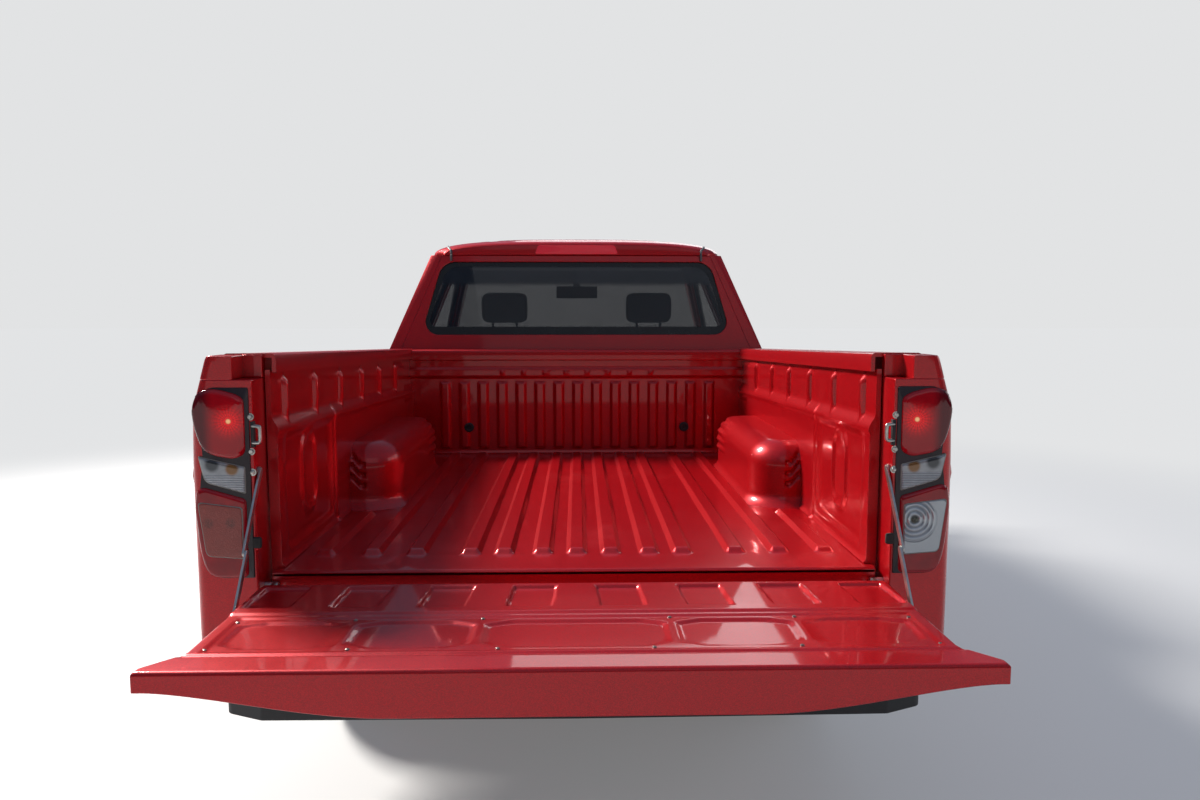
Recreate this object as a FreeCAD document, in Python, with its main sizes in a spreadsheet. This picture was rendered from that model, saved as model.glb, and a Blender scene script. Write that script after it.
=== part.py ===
import FreeCAD, Part
import math
import operator
import os
import Sketcher

# A pickup truck with an extended cab, two rear-hinged access doors and an open pressed tailgate.
# Millimetres. +Y is forward, +X the truck's right-hand side, +Z up. The origin lies on the ground under
# the middle of the whole truck, tailgate open.

Vector = FreeCAD.Vector
Rotation = FreeCAD.Rotation
doc = FreeCAD.newDocument("PickupTruck")

# Driving dimensions: name, value, what it is
SIZES = [
    ("wheelbase", 3125, "front axle to rear axle"),
    ("front_overhang", 905, "front axle to the bumper's nose"),
    ("bed_end", 1120, "rear axle to the rear edge of the bed walls"),
    ("bed_length", 1780, "inside length of the bed"),
    ("bed_half_width", 740, "middle to a bed wall's inner face"),
    ("bed_floor_height", 800, "ground to the top of the bed floor"),
    ("bed_floor_wall", 6, "bed floor sheet"),
    ("sill_height", 69, "cross sills under the bed floor"),
    ("rail_height_rear", 530, "bed floor to the top rail, rear"),
    ("rail_height_front", 470, "bed floor to the top rail, front"),
    ("rail_flange", 46, "depth of the top rail's inner flange"),
    ("rail_lip", 14, "how far the rail's flange stands in from the wall"),
    ("panel_wall", 16, "thickness of a bed side's inner or outer wall"),
    ("housing_reach", 165, "wheel housing from the wall towards the middle"),
    ("housing_height", 210, "bed floor to the top of a wheel housing"),
    ("housing_start", 665, "wall's rear edge to the wheel housing"),
    ("housing_length", 835, "length of a wheel housing"),
    ("housing_round", 90, "upright rounding of a wheel housing"),
    ("ridge_height", 13, "ridges of the bed floor"),
    ("ridge_top", 32, "width of a ridge's flat top"),
    ("ridge_base", 60, "width of a ridge at the floor"),
    ("ridge_setback", 100, "wall's rear edge to a ridge's nose"),
    ("bulkhead_wall", 20, "thickness of the bed's front wall"),
    ("bulkhead_rib_pitch", 84, "spacing of the ribs on the bed's front wall"),
    ("bulkhead_rib_count", 15, "ribs on the bed's front wall"),
    ("post_inset", 15, "bed wall's inner face to the corner post's inner face"),
    ("post_depth", 85, "corner post behind the wall's rear edge"),
    ("body_half_width", 935, "middle to the widest point of the body"),
    ("hinge_setback", 42, "wall's rear edge to the tailgate's hinge"),
    ("hinge_drop", 30, "bed floor down to the tailgate's hinge"),
    ("tailgate_length", 578, "tailgate hinge to its outer edge"),
    ("tailgate_half_width", 735, "middle to a side of the tailgate"),
    ("tailgate_ear", 57, "how far an ear stands out from the tailgate's side"),
    ("tailgate_depth", 56, "thickness of the tailgate"),
    ("tailgate_lip", 94, "depth of the tailgate's outer edge at its middle"),
    ("tailgate_lip_end", 42, "depth of the tailgate's outer edge at its ears"),
    ("stay_upper_length", 208, "upper link between its pivots"),
    ("stay_lower_length", 151, "lower link between its pivots"),
    ("stay_width", 16, "width of a link"),
    ("stay_thickness", 5, "thickness of a link"),
    ("stay_angle", 36.2, "open stay, degrees from hanging straight"),
    ("stay_height", 285, "tailgate hinge up to the stay's upper pivot"),
    ("stay_setback", 18, "tailgate hinge to the stay's upper pivot, rearwards"),
    ("tyre_radius", 375, "tyre"),
    ("tyre_width", 245, "tyre"),
    ("rim_radius", 216, "rim's flange"),
    ("track", 1570, "between the middles of the tyres"),
    ("arch_radius", 430, "wheel arch"),
    ("kingpin_offset", 90, "tyre's middle to the kingpin, inwards"),
    ("cab_gap", 30, "bed's front wall to the cab's back"),
    ("bulkhead_depth", 40, "folded depth of the bed's front wall"),
    ("cab_wall", 35, "cab back panel"),
    ("sill_bottom", 430, "ground to the bottom of the doors' sills"),
    ("rocker_height", 75, "sill below the doors"),
    ("hinge_post_depth", 46, "post that carries a front door"),
    ("belt_height", 1195, "ground to the foot of the side windows"),
    ("belt_half_width", 875, "middle to the body side at the belt"),
    ("roof_edge_height", 1690, "ground to the roof's side edge"),
    ("roof_half_width", 665, "middle to the roof's side edge"),
    ("roof_height", 1790, "ground to the top of the roof"),
    ("roof_wall", 22, "roof with its lining"),
    ("door_gap", 6, "gap round a door"),
    ("door_seam", 10, "gap between a front door and an access door"),
    ("door_thickness", 100, "front door"),
    ("access_thickness", 62, "access door"),
    ("pillar_thickness", 36, "window frames and pillars, sideways"),
    ("front_door_length", 1064, "front door"),
    ("access_door_length", 430, "access door"),
    ("glass_wall", 5, "window glass"),
    ("hood_gap", 8, "gap round the hood"),
    ("hood_half_width", 727, "middle to the hood's side edge"),
    ("hood_wall", 28, "hood"),
    ("fender_wall", 22, "front fender"),
    ("rail_half_gap", 380, "middle to a frame rail's inner face"),
    ("rail_width", 70, "frame rail"),
    ("rail_depth", 130, "frame rail"),
    ("shoulder_width", 77, "body's widest point at the rail to the top rail's flat top"),
    ("shoulder_drop", 92, "height of the sloping shoulder outside the top rail"),
    ("housing_roll", 62, "rounding along the top of a wheel housing"),
    ("housing_wall", 14, "thickness of a wheel housing"),
    ("ridge_slope", 22, "length of a ridge's sloping end"),
    ("press_depth", 9, "how far a bed side's pressed rib stands out"),
    ("press_slope", 8, "width of a pressed rib's sloping flank"),
    ("bulkhead_rib_width", 46, "a rib of the front wall at its foot"),
    ("lamp_height", 455, "tail lamp block"),
    ("lamp_depth", 59, "tail lamp block, fore and aft"),
    ("high_lamp_half_width", 190, "middle to the side of the high brake lamp"),
    ("tailgate_panel_pitch", 95, "spacing of the panels beside the tailgate's hinge"),
    ("tailgate_press", 6, "depth of the tailgate's sunk panels"),
    ("rear_bumper_half_width", 850, "middle to the rear bumper's side"),
    ("hand_hole_radius", 17, "holes in a wheel's disc"),
    ("hand_hole_count", 6, "holes in a wheel's disc"),
    ("cab_lean", 90, "how far the cab's back leans forward above the belt"),
    ("cab_corner", 70, "upright rounding of the cab's rear corners"),
    ("grille_half_width", 438, "middle to the grille's side"),
    ("hood_crown", 36, "hood's side edge to its crown"),
    ("seat_spacing", 730, "between the middles of the front seats"),
    ("axle_tube_radius", 42, "rear axle tube"),
    ("drum_radius", 140, "rear brake drum"),
    ("disc_radius", 150, "front brake disc"),
    ("spring_reach", 620, "rear axle to a leaf spring's eye"),
    ("fit_gap", 0.3, "running clearance between pieces that fit each other"),
]
sheet = doc.addObject("Spreadsheet::Sheet", "Sizes")
for row, (alias, value, note) in enumerate(SIZES, start=1):
    sheet.set("A%d" % row, alias)
    sheet.set("B%d" % row, str(value))
    sheet.set("C%d" % row, note)
    sheet.setAlias("B%d" % row, alias)
places = doc.addObject("App::VarSet", "Places")
doc.recompute()


class Length(float):
    """A length that also knows its formula in the names of the sheets, so that features can be bound to it."""

    def __new__(cls, value, text):
        made = float.__new__(cls, value)
        made.text = text
        return made

    def __add__(self, other):
        return worked_out(operator.add, "+", self, other)

    def __radd__(self, other):
        return worked_out(operator.add, "+", other, self)

    def __sub__(self, other):
        return worked_out(operator.sub, "-", self, other)

    def __rsub__(self, other):
        return worked_out(operator.sub, "-", other, self)

    def __mul__(self, other):
        return worked_out(operator.mul, "*", self, other)

    def __rmul__(self, other):
        return worked_out(operator.mul, "*", other, self)

    def __truediv__(self, other):
        return worked_out(operator.truediv, "/", self, other)

    def __neg__(self):
        return worked_out(operator.mul, "*", -1, self)


def formula(value):
    """A value as the text of an expression."""
    return value.text if isinstance(value, Length) else "(%s)" % round(float(value), 6)


def worked_out(operation, sign, left, right):
    """The result of one operation, with its formula."""
    text = "(%s %s %s)" % (formula(left), sign, formula(right))
    return Length(operation(float(left), float(right)), text)


class Size:
    """The sheet's values by name."""

    def __getattr__(self, alias):
        return Length(float(sheet.get(alias)), "Sizes." + alias)


def place(name, value):
    """A place worked out from the sizes, kept under its own name beside the sheet."""
    places.addProperty("App::PropertyFloat", name)
    places.setExpression(name, formula(value))
    return Length(float(value), "Places." + name)


def turned(value, way):
    """Sine or cosine of an angle in degrees."""
    worked = {"sin": math.sin, "cos": math.cos}[way](math.radians(value))
    return Length(worked, "%s(%s * 1 deg)" % (way, formula(value)))


def bind(thing, name, value):
    """Sets a feature's size, and binds it to the sheets where it comes from them."""
    if isinstance(value, Length):
        thing.setExpression(name, value.text)
    elif "." not in name:
        setattr(thing, name, value)


def move_to(thing, base, rotation=None):
    """Places a feature at a point whose parts may be bound to the sheets."""
    thing.Placement = FreeCAD.Placement(Vector(*base), rotation or Rotation())
    for axis, value in zip("xyz", base):
        bind(thing, "Placement.Base." + axis, value)


size = Size()
nodes = {}
current = "truck"


def new(kind, word):
    """A document object named after the sub-part that is being made."""
    return doc.addObject(kind, "%s_%s" % (current, word))


# Sketches. An outline is a list of corners (a, b) or (a, b, radius), which reads (y, z) when it faces
# along X, (x, z) along Y and (x, y) along Z. In a sketch, -1 is its level axis or zero point, -2 its
# upright axis.



def fixed(constraints, bindings, item, point, a, b):
    """Holds a point of a sketch at (a, b)."""
    for kind, value, axis in (("DistanceX", a, -2), ("DistanceY", b, -1)):
        if not isinstance(value, Length) and abs(value) < 0.0001:
            constraints.append(Sketcher.Constraint("PointOnObject", item, point, axis))
            continue
        if isinstance(value, Length):
            bindings.append((len(constraints), value.text))
        constraints.append(Sketcher.Constraint(kind, -1, 1, item, point, float(value)))


def corner_stops(corners):
    """For each corner, where its rounding starts, its middle, and where it ends."""
    stops = []
    for index, corner in enumerate(corners):
        here = Vector(corner[0], corner[1], 0)
        radius = float(corner[2]) if len(corner) > 2 else 0.0
        if not radius:
            stops.append((here, None, here))
            continue
        before = Vector(*corners[index - 1][:2], 0)
        after = Vector(*corners[(index + 1) % len(corners)][:2], 0)
        back = (before - here).normalize()
        ahead = (after - here).normalize()
        half_turn = (math.pi - back.getAngle(ahead)) / 2
        reach = radius * math.tan(half_turn)
        centre = here + (back + ahead).normalize() * (radius / math.cos(half_turn))
        stops.append((here + back * reach, centre, here + ahead * reach))
    return stops


def arc_between(centre, radius, start, end, onwards):
    """Arc of a circle from start to end, anticlockwise when it runs onwards."""
    first, last = (start, end) if onwards else (end, start)
    angles = [math.atan2(stop.y - centre.y, stop.x - centre.x) for stop in (first, last)]
    return Part.ArcOfCircle(Part.Circle(centre, Vector(0, 0, 1), radius), *angles)


def draw(drawing, corners, through=None):
    """Closed outline in a sketch. through gives the point that the side after a corner arches over."""
    through = through or {}
    geometry, constraints, bindings, points = [], [], [], []
    stops = corner_stops(corners)
    count = len(corners)
    lines, arcs, ends = [], {}, []
    for index in range(count):
        start, end = stops[index][2], stops[(index + 1) % count][0]
        lines.append(len(geometry))
        if index in through:
            crest = Vector(through[index][0], through[index][1], 0)
            circle = Part.Circle(start, crest, end)
            onwards = (crest - start).cross(end - crest).z > 0
            geometry.append(arc_between(circle.Center, circle.Radius, start, end, onwards))
            ends.append((1, 2) if onwards else (2, 1))
        else:
            geometry.append(Part.LineSegment(start, end))
            ends.append((1, 2))
    for index, corner in enumerate(corners):
        if stops[index][1] is None:
            continue
        start, centre, end = stops[index]
        onwards = (start - centre).cross(end - centre).z > 0
        arcs[index] = (len(geometry), onwards)
        geometry.append(arc_between(centre, float(corner[2]), start, end, onwards))
    for index, corner in enumerate(corners):
        line, before = lines[index], lines[index - 1]
        start_end = ends[index][0]
        before_end = ends[index - 1][1]
        if index not in arcs:
            constraints.append(Sketcher.Constraint("Coincident", before, before_end, line, start_end))
            fixed(constraints, bindings, line, start_end, corner[0], corner[1])
            continue
        arc, onwards = arcs[index]
        near, far = (1, 2) if onwards else (2, 1)
        constraints.append(Sketcher.Constraint("Tangent", before, before_end, arc, near))
        constraints.append(Sketcher.Constraint("Tangent", arc, far, line, start_end))
        if isinstance(corner[2], Length):
            bindings.append((len(constraints), corner[2].text))
        constraints.append(Sketcher.Constraint("Radius", arc, float(corner[2])))
        points.append((corner, before, line))
    drawing.addGeometry(geometry, False)
    for corner, before, line in points:
        mark = drawing.addGeometry(Part.Point(Vector(corner[0], corner[1], 0)), True)
        constraints.append(Sketcher.Constraint("PointOnObject", mark, 1, before))
        constraints.append(Sketcher.Constraint("PointOnObject", mark, 1, line))
        fixed(constraints, bindings, mark, 1, corner[0], corner[1])
    for index, crest in through.items():
        mark = drawing.addGeometry(Part.Point(Vector(crest[0], crest[1], 0)), True)
        constraints.append(Sketcher.Constraint("PointOnObject", mark, 1, lines[index]))
        fixed(constraints, bindings, mark, 1, crest[0], crest[1])
    drawing.addConstraint(constraints)
    for number, text in bindings:
        drawing.setExpression("Constraints[%d]" % number, text)
    return drawing


PLANES = {"x": "YZ_Plane", "y": "XZ_Plane", "z": "XY_Plane"}


def sketch(body, outline, facing, centre, through=None):
    """An outline in a body, facing along an axis, with its zero point at a centre (x, y, z)."""
    drawing = body.newObject("Sketcher::SketchObject", current + "_outline")
    plane = [part for part in body.Origin.OriginFeatures if part.Role == PLANES[facing]]
    drawing.AttachmentSupport = [(plane[0], "")]
    drawing.MapMode = "FlatFace"
    x, y, z = centre
    offset = {"x": (y, z, x), "y": (x, z, -y), "z": (x, y, z)}[facing]
    drawing.AttachmentOffset = FreeCAD.Placement(Vector(*offset), Rotation())
    for axis, value in zip("xyz", offset):
        bind(drawing, "AttachmentOffset.Base." + axis, value)
    return draw(drawing, outline, through)


def on_axis(facing, at):
    """The centre of a sketch that faces along an axis, at a place on it."""
    return [at if axis == facing else 0 for axis in "xyz"]


def feature(body, kind, word):
    """A new last feature of a body."""
    made = body.newObject("PartDesign::" + kind, "%s_%s" % (current, word))
    body.Tip = made
    return made


def pad(body, outline, facing, low, high, through=None):
    """An outline carried along an axis from low to high, as a feature of a body."""
    made = feature(body, "Pad", "pad")
    made.Profile = sketch(body, outline, facing, on_axis(facing, low), through)
    made.Reversed = facing == "y"
    bind(made, "Length", high - low)
    return made


def carried(outline, facing, low, high, through=None):
    """A body of one outline carried along an axis from low to high."""
    body = new("PartDesign::Body", "body")
    pad(body, outline, facing, low, high, through)
    return body


def add_loft(body, sections, facing):
    """Straight rulings through sections (place, outline) or (place, outline, through), in a body."""
    drawings = []
    for at, outline, *through in sections:
        drawings.append(sketch(body, outline, facing, on_axis(facing, at), *through))
    made = feature(body, "AdditiveLoft", "loft")
    made.Profile = drawings[0]
    made.Sections = drawings[1:]
    made.Ruled = True
    return made


def lofted(sections, facing):
    """A body of straight rulings through sections along an axis."""
    body = new("PartDesign::Body", "body")
    add_loft(body, sections, facing)
    return body


def spun(outline, centre, spin_axis="H_Axis"):
    """A body turned round the level or upright axis of an outline that faces along Y."""
    body = new("PartDesign::Body", "body")
    made = feature(body, "Revolution", "revolution")
    drawing = sketch(body, outline, "y", centre)
    made.Profile = drawing
    made.ReferenceAxis = (drawing, [spin_axis])
    made.Angle = 360
    return body


def block(x_low, x_high, y_low, y_high, z_low, z_high):
    """Box between two corners."""
    solid = new("Part::Box", "box")
    for name, low, high in (("Length", x_low, x_high), ("Width", y_low, y_high), ("Height", z_low, z_high)):
        bind(solid, name, high - low)
    move_to(solid, (x_low, y_low, z_low))
    return solid


def rod(radius, start, end):
    """Cylinder between two points."""
    solid = new("Part::Cylinder", "rod")
    way = Vector(*end) - Vector(*start)
    bind(solid, "Radius", radius)
    apart = [axis for axis in range(3) if abs(end[axis] - start[axis]) > 0.0001]
    length = end[apart[0]] - start[apart[0]] if len(apart) == 1 else way.Length
    bind(solid, "Height", length if length > 0 else -length)
    move_to(solid, start, Rotation(Vector(0, 0, 1), way))
    return solid


def fuse(parts):
    """One solid from touching parts."""
    if len(parts) == 1:
        return parts[0]
    joined = new("Part::MultiFuse", "joined")
    joined.Shapes = parts
    joined.Refine = True
    return joined


def cut(base, tool):
    """A solid less a tool."""
    left = new("Part::Cut", "cut")
    left.Base = base
    left.Tool = tool
    return left


def common(part, *others):
    """What several solids share."""
    for other in others:
        shared = new("Part::Common", "shared")
        shared.Base = part
        shared.Tool = other
        part = shared
    return part


def together(parts):
    """Solids kept side by side in one object."""
    group = new("Part::Compound", "group")
    group.Links = parts
    return group


def mirrored(part):
    """The same solid on the other side of the truck."""
    twin = new("Part::Mirroring", "twin")
    twin.Source = part
    twin.Base = Vector(0, 0, 0)
    twin.Normal = Vector(1, 0, 0)
    return twin


def shifted(part, base, rotation=None):
    """A copy of a part at another place."""
    copy = new("Part::Compound", "copy")
    copy.Links = [part]
    move_to(copy, base, rotation)
    return copy


def stepped(middle, half, slope):
    """Outlines at the foot and the head of a low pressed form with sloping flanks."""
    outlines = []
    for inset in (0, slope):
        reach_a = half[0] - inset
        reach_b = half[1] - inset
        outlines.append([(middle[0] - reach_a, middle[1] - reach_b), (middle[0] + reach_a, middle[1] - reach_b),
                         (middle[0] + reach_a, middle[1] + reach_b), (middle[0] - reach_a, middle[1] + reach_b)])
    return outlines


def pressed(middle, half, slope, rise, facing, at):
    """A pressed rib or panel on a wall that faces along an axis at a place."""
    foot, head = stepped(middle, half, slope)
    return lofted([(at, foot), (at + rise, head)], facing)


def thickened(chain, wall):
    """Closed outline from an open chain of corners and a wall on its left-hand side."""
    inner = []
    for index, here in enumerate(chain):
        normals = []
        for start, end in zip(chain[max(index - 1, 0):index + 1], chain[max(index, 1):index + 2]):
            step = Vector(end[0] - start[0], end[1] - start[1], 0)
            if step.Length > 0:
                step.normalize()
                normals.append(Vector(-step.y, step.x, 0))
        total = normals[0]
        for normal in normals[1:]:
            total = total + normal
        shift = total * (wall / (total.dot(normals[0]))) if len(normals) > 1 else normals[0] * wall
        inner.append((here[0] + shift.x, here[1] + shift.y))
    return list(chain) + inner[::-1]


def grown(corners, distance):
    """Polygon of corners, drawn anticlockwise, with each side moved outwards."""
    moved = []
    count = len(corners)
    for index in range(count):
        before, here, after = corners[index - 1], corners[index], corners[(index + 1) % count]
        normals = []
        for start, end in ((before, here), (here, after)):
            step = Vector(end[0] - start[0], end[1] - start[1], 0).normalize()
            normals.append(Vector(step.y, -step.x, 0))
        spread = 1 + normals[0].dot(normals[1])
        shift = (normals[0] + normals[1]) * (distance / spread)
        moved.append((here[0] + shift.x, here[1] + shift.y))
    return moved


def node(label, part):
    """Names a finished sub-part."""
    part.Label = label
    nodes[label] = part


def pair(label, part):
    """A piece of the right-hand side and its twin on the left, in one node."""
    node(label, together([part, mirrored(part)]))


def sides(label, part):
    """A piece of the right-hand side and its twin, each in a node of its own."""
    node(label + "_right", part)
    node(label + "_left", mirrored(part))


# Places along the truck, worked out from the lengths
overall_length = (size.front_overhang + size.wheelbase + size.bed_end
                  + size.hinge_setback + size.tailgate_length)
nose = place("nose", overall_length / 2)
front_axle = place("front_axle", nose - size.front_overhang)
rear_axle = place("rear_axle", front_axle - size.wheelbase)
wall_end = place("wall_end", rear_axle - size.bed_end)
bulkhead_face = place("bulkhead_face", wall_end + size.bed_length)
bed_front = place("bed_front", bulkhead_face + size.bulkhead_depth)
cab_rear = place("cab_rear", bed_front + size.cab_gap)
hinge_y = place("hinge_y", wall_end - size.hinge_setback)
hinge_z = place("hinge_z", size.bed_floor_height - size.hinge_drop)
post_inner = place("post_inner", size.bed_half_width + size.post_inset)
post_rear = place("post_rear", wall_end - size.post_depth)
floor_z = size.bed_floor_height
floor_under = place("floor_under", floor_z - size.bed_floor_wall)
sill_low = place("sill_low", floor_under - size.sill_height)
wheel_z = size.tyre_radius
wheel_x = place("wheel_x", size.track / 2)
housing_rear = place("housing_rear", wall_end + size.housing_start)
housing_front = place("housing_front", housing_rear + size.housing_length)
housing_inner = place("housing_inner", size.bed_half_width - size.housing_reach)
wall_low = place("wall_low", floor_z - 60)
bed_outer = place("bed_outer", size.body_half_width - 5)
rail_outer = place("rail_outer", size.rail_half_gap + size.rail_width)
fit = size.fit_gap
bumper_top = 600


def rail_top(y):
    """Height of the bed's top rail at a place along the truck."""
    share = (y - wall_end) / size.bed_length
    return floor_z + size.rail_height_rear + (size.rail_height_front - size.rail_height_rear) * share


# Bed

def bed_floor():
    """Corrugated floor on cross sills, cut round the wheel housings."""
    half = size.bed_half_width
    rear = hinge_y + 9
    pieces = [block(-half, half, rear, bulkhead_face, floor_under, floor_z)]
    ridge_front = bulkhead_face - 12
    ridge_rear = wall_end + size.ridge_setback
    # sideways place of each ridge, and where its front end lies
    ridges = [(0, ridge_front), (89, ridge_front), (190, ridge_front), (277, ridge_front),
              (418, ridge_front), (535, ridge_front), (655, housing_rear - 60)]
    for offset, front in ridges:
        for middle in sorted({offset, -offset}):
            pieces.append(ridge(middle, ridge_rear, front))
    sills = [(rear + 30, half), (wall_end + 420, half), (rear_axle - 60, housing_inner - 15),
             (rear_axle + 540, half), (bulkhead_face - 60, half)]
    for y, reach in sills:
        pieces.append(block(-reach, reach, y - 28, y + 28, sill_low, floor_under))
    corner = size.housing_round + fit
    around = [(housing_inner - fit, housing_rear - fit, corner), (half + 1, housing_rear - fit),
              (half + 1, housing_front + fit), (housing_inner - fit, housing_front + fit, corner)]
    opening = carried(around, "z", sill_low - 1, floor_z + 40)
    node("bed_floor", cut(fuse(pieces), together([opening, mirrored(opening)])))


def ridge(middle, rear, front):
    """One raised ridge with sloping flanks and sloping ends."""
    half_top = size.ridge_top / 2
    half_base = size.ridge_base / 2
    slope = size.ridge_slope
    foot = [(middle - half_base, rear), (middle + half_base, rear),
            (middle + half_base, front), (middle - half_base, front)]
    head = [(middle - half_top, rear + slope), (middle + half_top, rear + slope),
            (middle + half_top, front - slope), (middle - half_top, front - slope)]
    return lofted([(floor_z, foot), (floor_z + size.ridge_height, head)], "z")


def bed_side_outline(y):
    """Rear-view outline of a double-walled side: inner wall, flange, top rail, shoulder, outer wall."""
    inner = size.bed_half_width
    lip = inner - size.rail_lip
    wall = size.panel_wall
    outer = bed_outer
    top = rail_top(y)
    shoulder = outer - size.shoulder_width
    shoulder_foot = top - size.shoulder_drop
    return [(inner, wall_low), (inner, top - size.rail_flange), (lip, top - size.rail_flange),
            (lip, top - 8), (inner - 4, top), (shoulder, top), (outer - 25, shoulder_foot),
            (outer - 2, top - 240), (outer + 5, 900), (outer, 620), (outer - 20, 560),
            (outer - 20 - wall, 560), (outer - wall, 620), (outer + 5 - wall, 900),
            (outer - 2 - wall, top - 240), (outer - 25 - wall, shoulder_foot), (shoulder - wall, top - 30),
            (inner + wall, top - 30), (inner + wall, wall_low)]


def bed_side():
    """Double-walled side with a top rail, pressed ribs, wheel housing, wheel arch and corner post."""
    inner = size.bed_half_width
    pieces = [lofted([(y, bed_side_outline(y)) for y in (wall_end, bed_front)], "y")]
    # ribs between the flange and the step line: reach ahead of the rear edge, and width
    for ahead, width in ((101, 46), (360, 46), (627, 46), (899, 46), (1169, 46), (1510, 180)):
        y = wall_end + ahead
        head = rail_top(y) - size.rail_flange - 14
        foot = floor_z + 362 - 60 * ahead / size.bed_length
        pieces.append(side_rib(y, width, foot, head))
    # ribs and panel under the step line
    for ahead, width, low, high in ((505, 40, 40, 322), (263, 152, 106, 292)):
        pieces.append(side_rib(wall_end + ahead, width, floor_z + low, floor_z + high))
    pieces.append(housing(0, inner + 5))
    pieces.append(corner_post())
    hollow = housing(size.housing_wall, inner + 30)
    arch = rod(size.arch_radius, (inner + size.panel_wall + 1, rear_axle, wheel_z),
               (size.body_half_width + 55, rear_axle, wheel_z))
    pair("bed_sides", cut(cut(fuse(pieces), hollow), arch))


def side_rib(y, width, low, high):
    """A pressed rib or panel on a bed side's inner wall."""
    middle = (y, (low + high) / 2)
    half = (width / 2, (high - low) / 2)
    return pressed(middle, half, size.press_slope, -size.press_depth, "x", size.bed_half_width)


def housing(wall, far):
    """Wheel housing with rounded corners, or the hollow under it when a wall is left."""
    bend = size.housing_round - wall
    rear = housing_rear + wall
    front = housing_front - wall
    inner = housing_inner + wall
    top = floor_z + size.housing_height - wall
    body = new("PartDesign::Body", "housing")
    outline = [(inner, rear, bend), (far, rear), (far, front), (inner, front, bend)]
    upright = pad(body, outline, "z", wall_low - wall / 10, top)
    doc.recompute()
    rounds = []
    for index, edge in enumerate(upright.Shape.Edges, start=1):
        box = edge.BoundBox
        if box.ZMin > top - 0.01 and box.XMin < far - 1:
            rounds.append("Edge%d" % index)
    rolled = feature(body, "Fillet", "roll")
    rolled.Base = (upright, rounds)
    bind(rolled, "Radius", size.housing_roll - wall)
    return body


def corner_post():
    """Corner post that carries the lamp: a closed upright, cut back at its top for the tailgate's ear."""
    top = rail_top(wall_end)
    outer = size.body_half_width - 38
    front = wall_end + 10
    side = bed_outer - 2
    upright = carried([(post_inner, post_rear, 10), (outer, post_rear, 40), (side, front),
                       (post_inner, front)], "z", 640, top - 3)
    foot = carried([(post_inner + 30, post_rear, 10), (outer, post_rear, 40), (side, front),
                    (post_inner + 30, front)], "z", bumper_top + fit, 640)
    shoulder = [(post_inner - 1, 500), (bed_outer + 20, 500), (bed_outer + 20, 900), (bed_outer - 2, top - 240),
                (bed_outer - 25, top - size.shoulder_drop), (bed_outer - size.shoulder_width, top),
                (post_inner - 1, top)]
    post = common(fuse([upright, foot]), carried(shoulder, "y", post_rear - 1, front + 1))
    ear = size.tailgate_half_width + size.tailgate_ear + 7
    ear_low = hinge_z + size.tailgate_length - 75
    notch = block(post_inner - 1, ear, post_rear - 1, wall_end - 12, ear_low, top + 1)
    lamp = block(post_inner + 5, bed_outer + 35, post_rear - 1, post_rear + 45, floor_z,
                 floor_z + size.lamp_height)
    return cut(post, fuse([notch, lamp]))


def tail_lamps():
    """Lamp block in each corner post, and the high brake lamp in the roof's rear edge."""
    inner = post_inner + 5
    outer = size.body_half_width - 40
    front = post_rear + 45
    rear = front - size.lamp_depth
    lamp = carried([(inner, rear, 12), (outer, rear, 34), (outer + 14, front), (inner, front)],
                   "z", floor_z, floor_z + size.lamp_height)
    half = size.high_lamp_half_width
    high_rear = cab_rear + size.cab_lean - 4
    low = size.roof_edge_height + fit
    high = block(-half, half, high_rear, high_rear + 49, low, low + 45.7)
    node("rear_lamps", together([lamp, mirrored(lamp), high]))


def bulkhead():
    """Front wall of the bed with a folded top rail and a row of ribs."""
    half = size.bed_half_width
    top = rail_top(bulkhead_face)
    front = bulkhead_face + size.bulkhead_wall
    rail_low = top - size.rail_flange - 4
    rail_half = half - size.rail_lip - fit
    body = new("PartDesign::Body", "body")
    wall = [(-half, wall_low), (half, wall_low), (half, rail_low), (-half, rail_low)]
    pad(body, wall, "y", bulkhead_face, front)
    rail = [(bulkhead_face - 18, rail_low), (bed_front, rail_low), (bed_front, top - 4, 6),
            (bulkhead_face - 18, top - 4, 10)]
    pad(body, rail, "x", -rail_half, rail_half)
    spaces = size.bulkhead_rib_count - 1
    pitch = size.bulkhead_rib_pitch
    middle = (-spaces * pitch / 2, floor_z + 173.5)
    foot, head = stepped(middle, (size.bulkhead_rib_width / 2, 151.5), 8)
    rib = add_loft(body, [(bulkhead_face, foot), (bulkhead_face - 10, head)], "y")
    row = feature(body, "LinearPattern", "ribs")
    row.Originals = [rib]
    row.Direction = (rib.Profile[0], ["H_Axis"])
    bind(row, "Length", spaces * pitch)
    bind(row, "Occurrences", size.bulkhead_rib_count)
    node("bed_bulkhead", body)


# Tailgate and its folding stays

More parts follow.
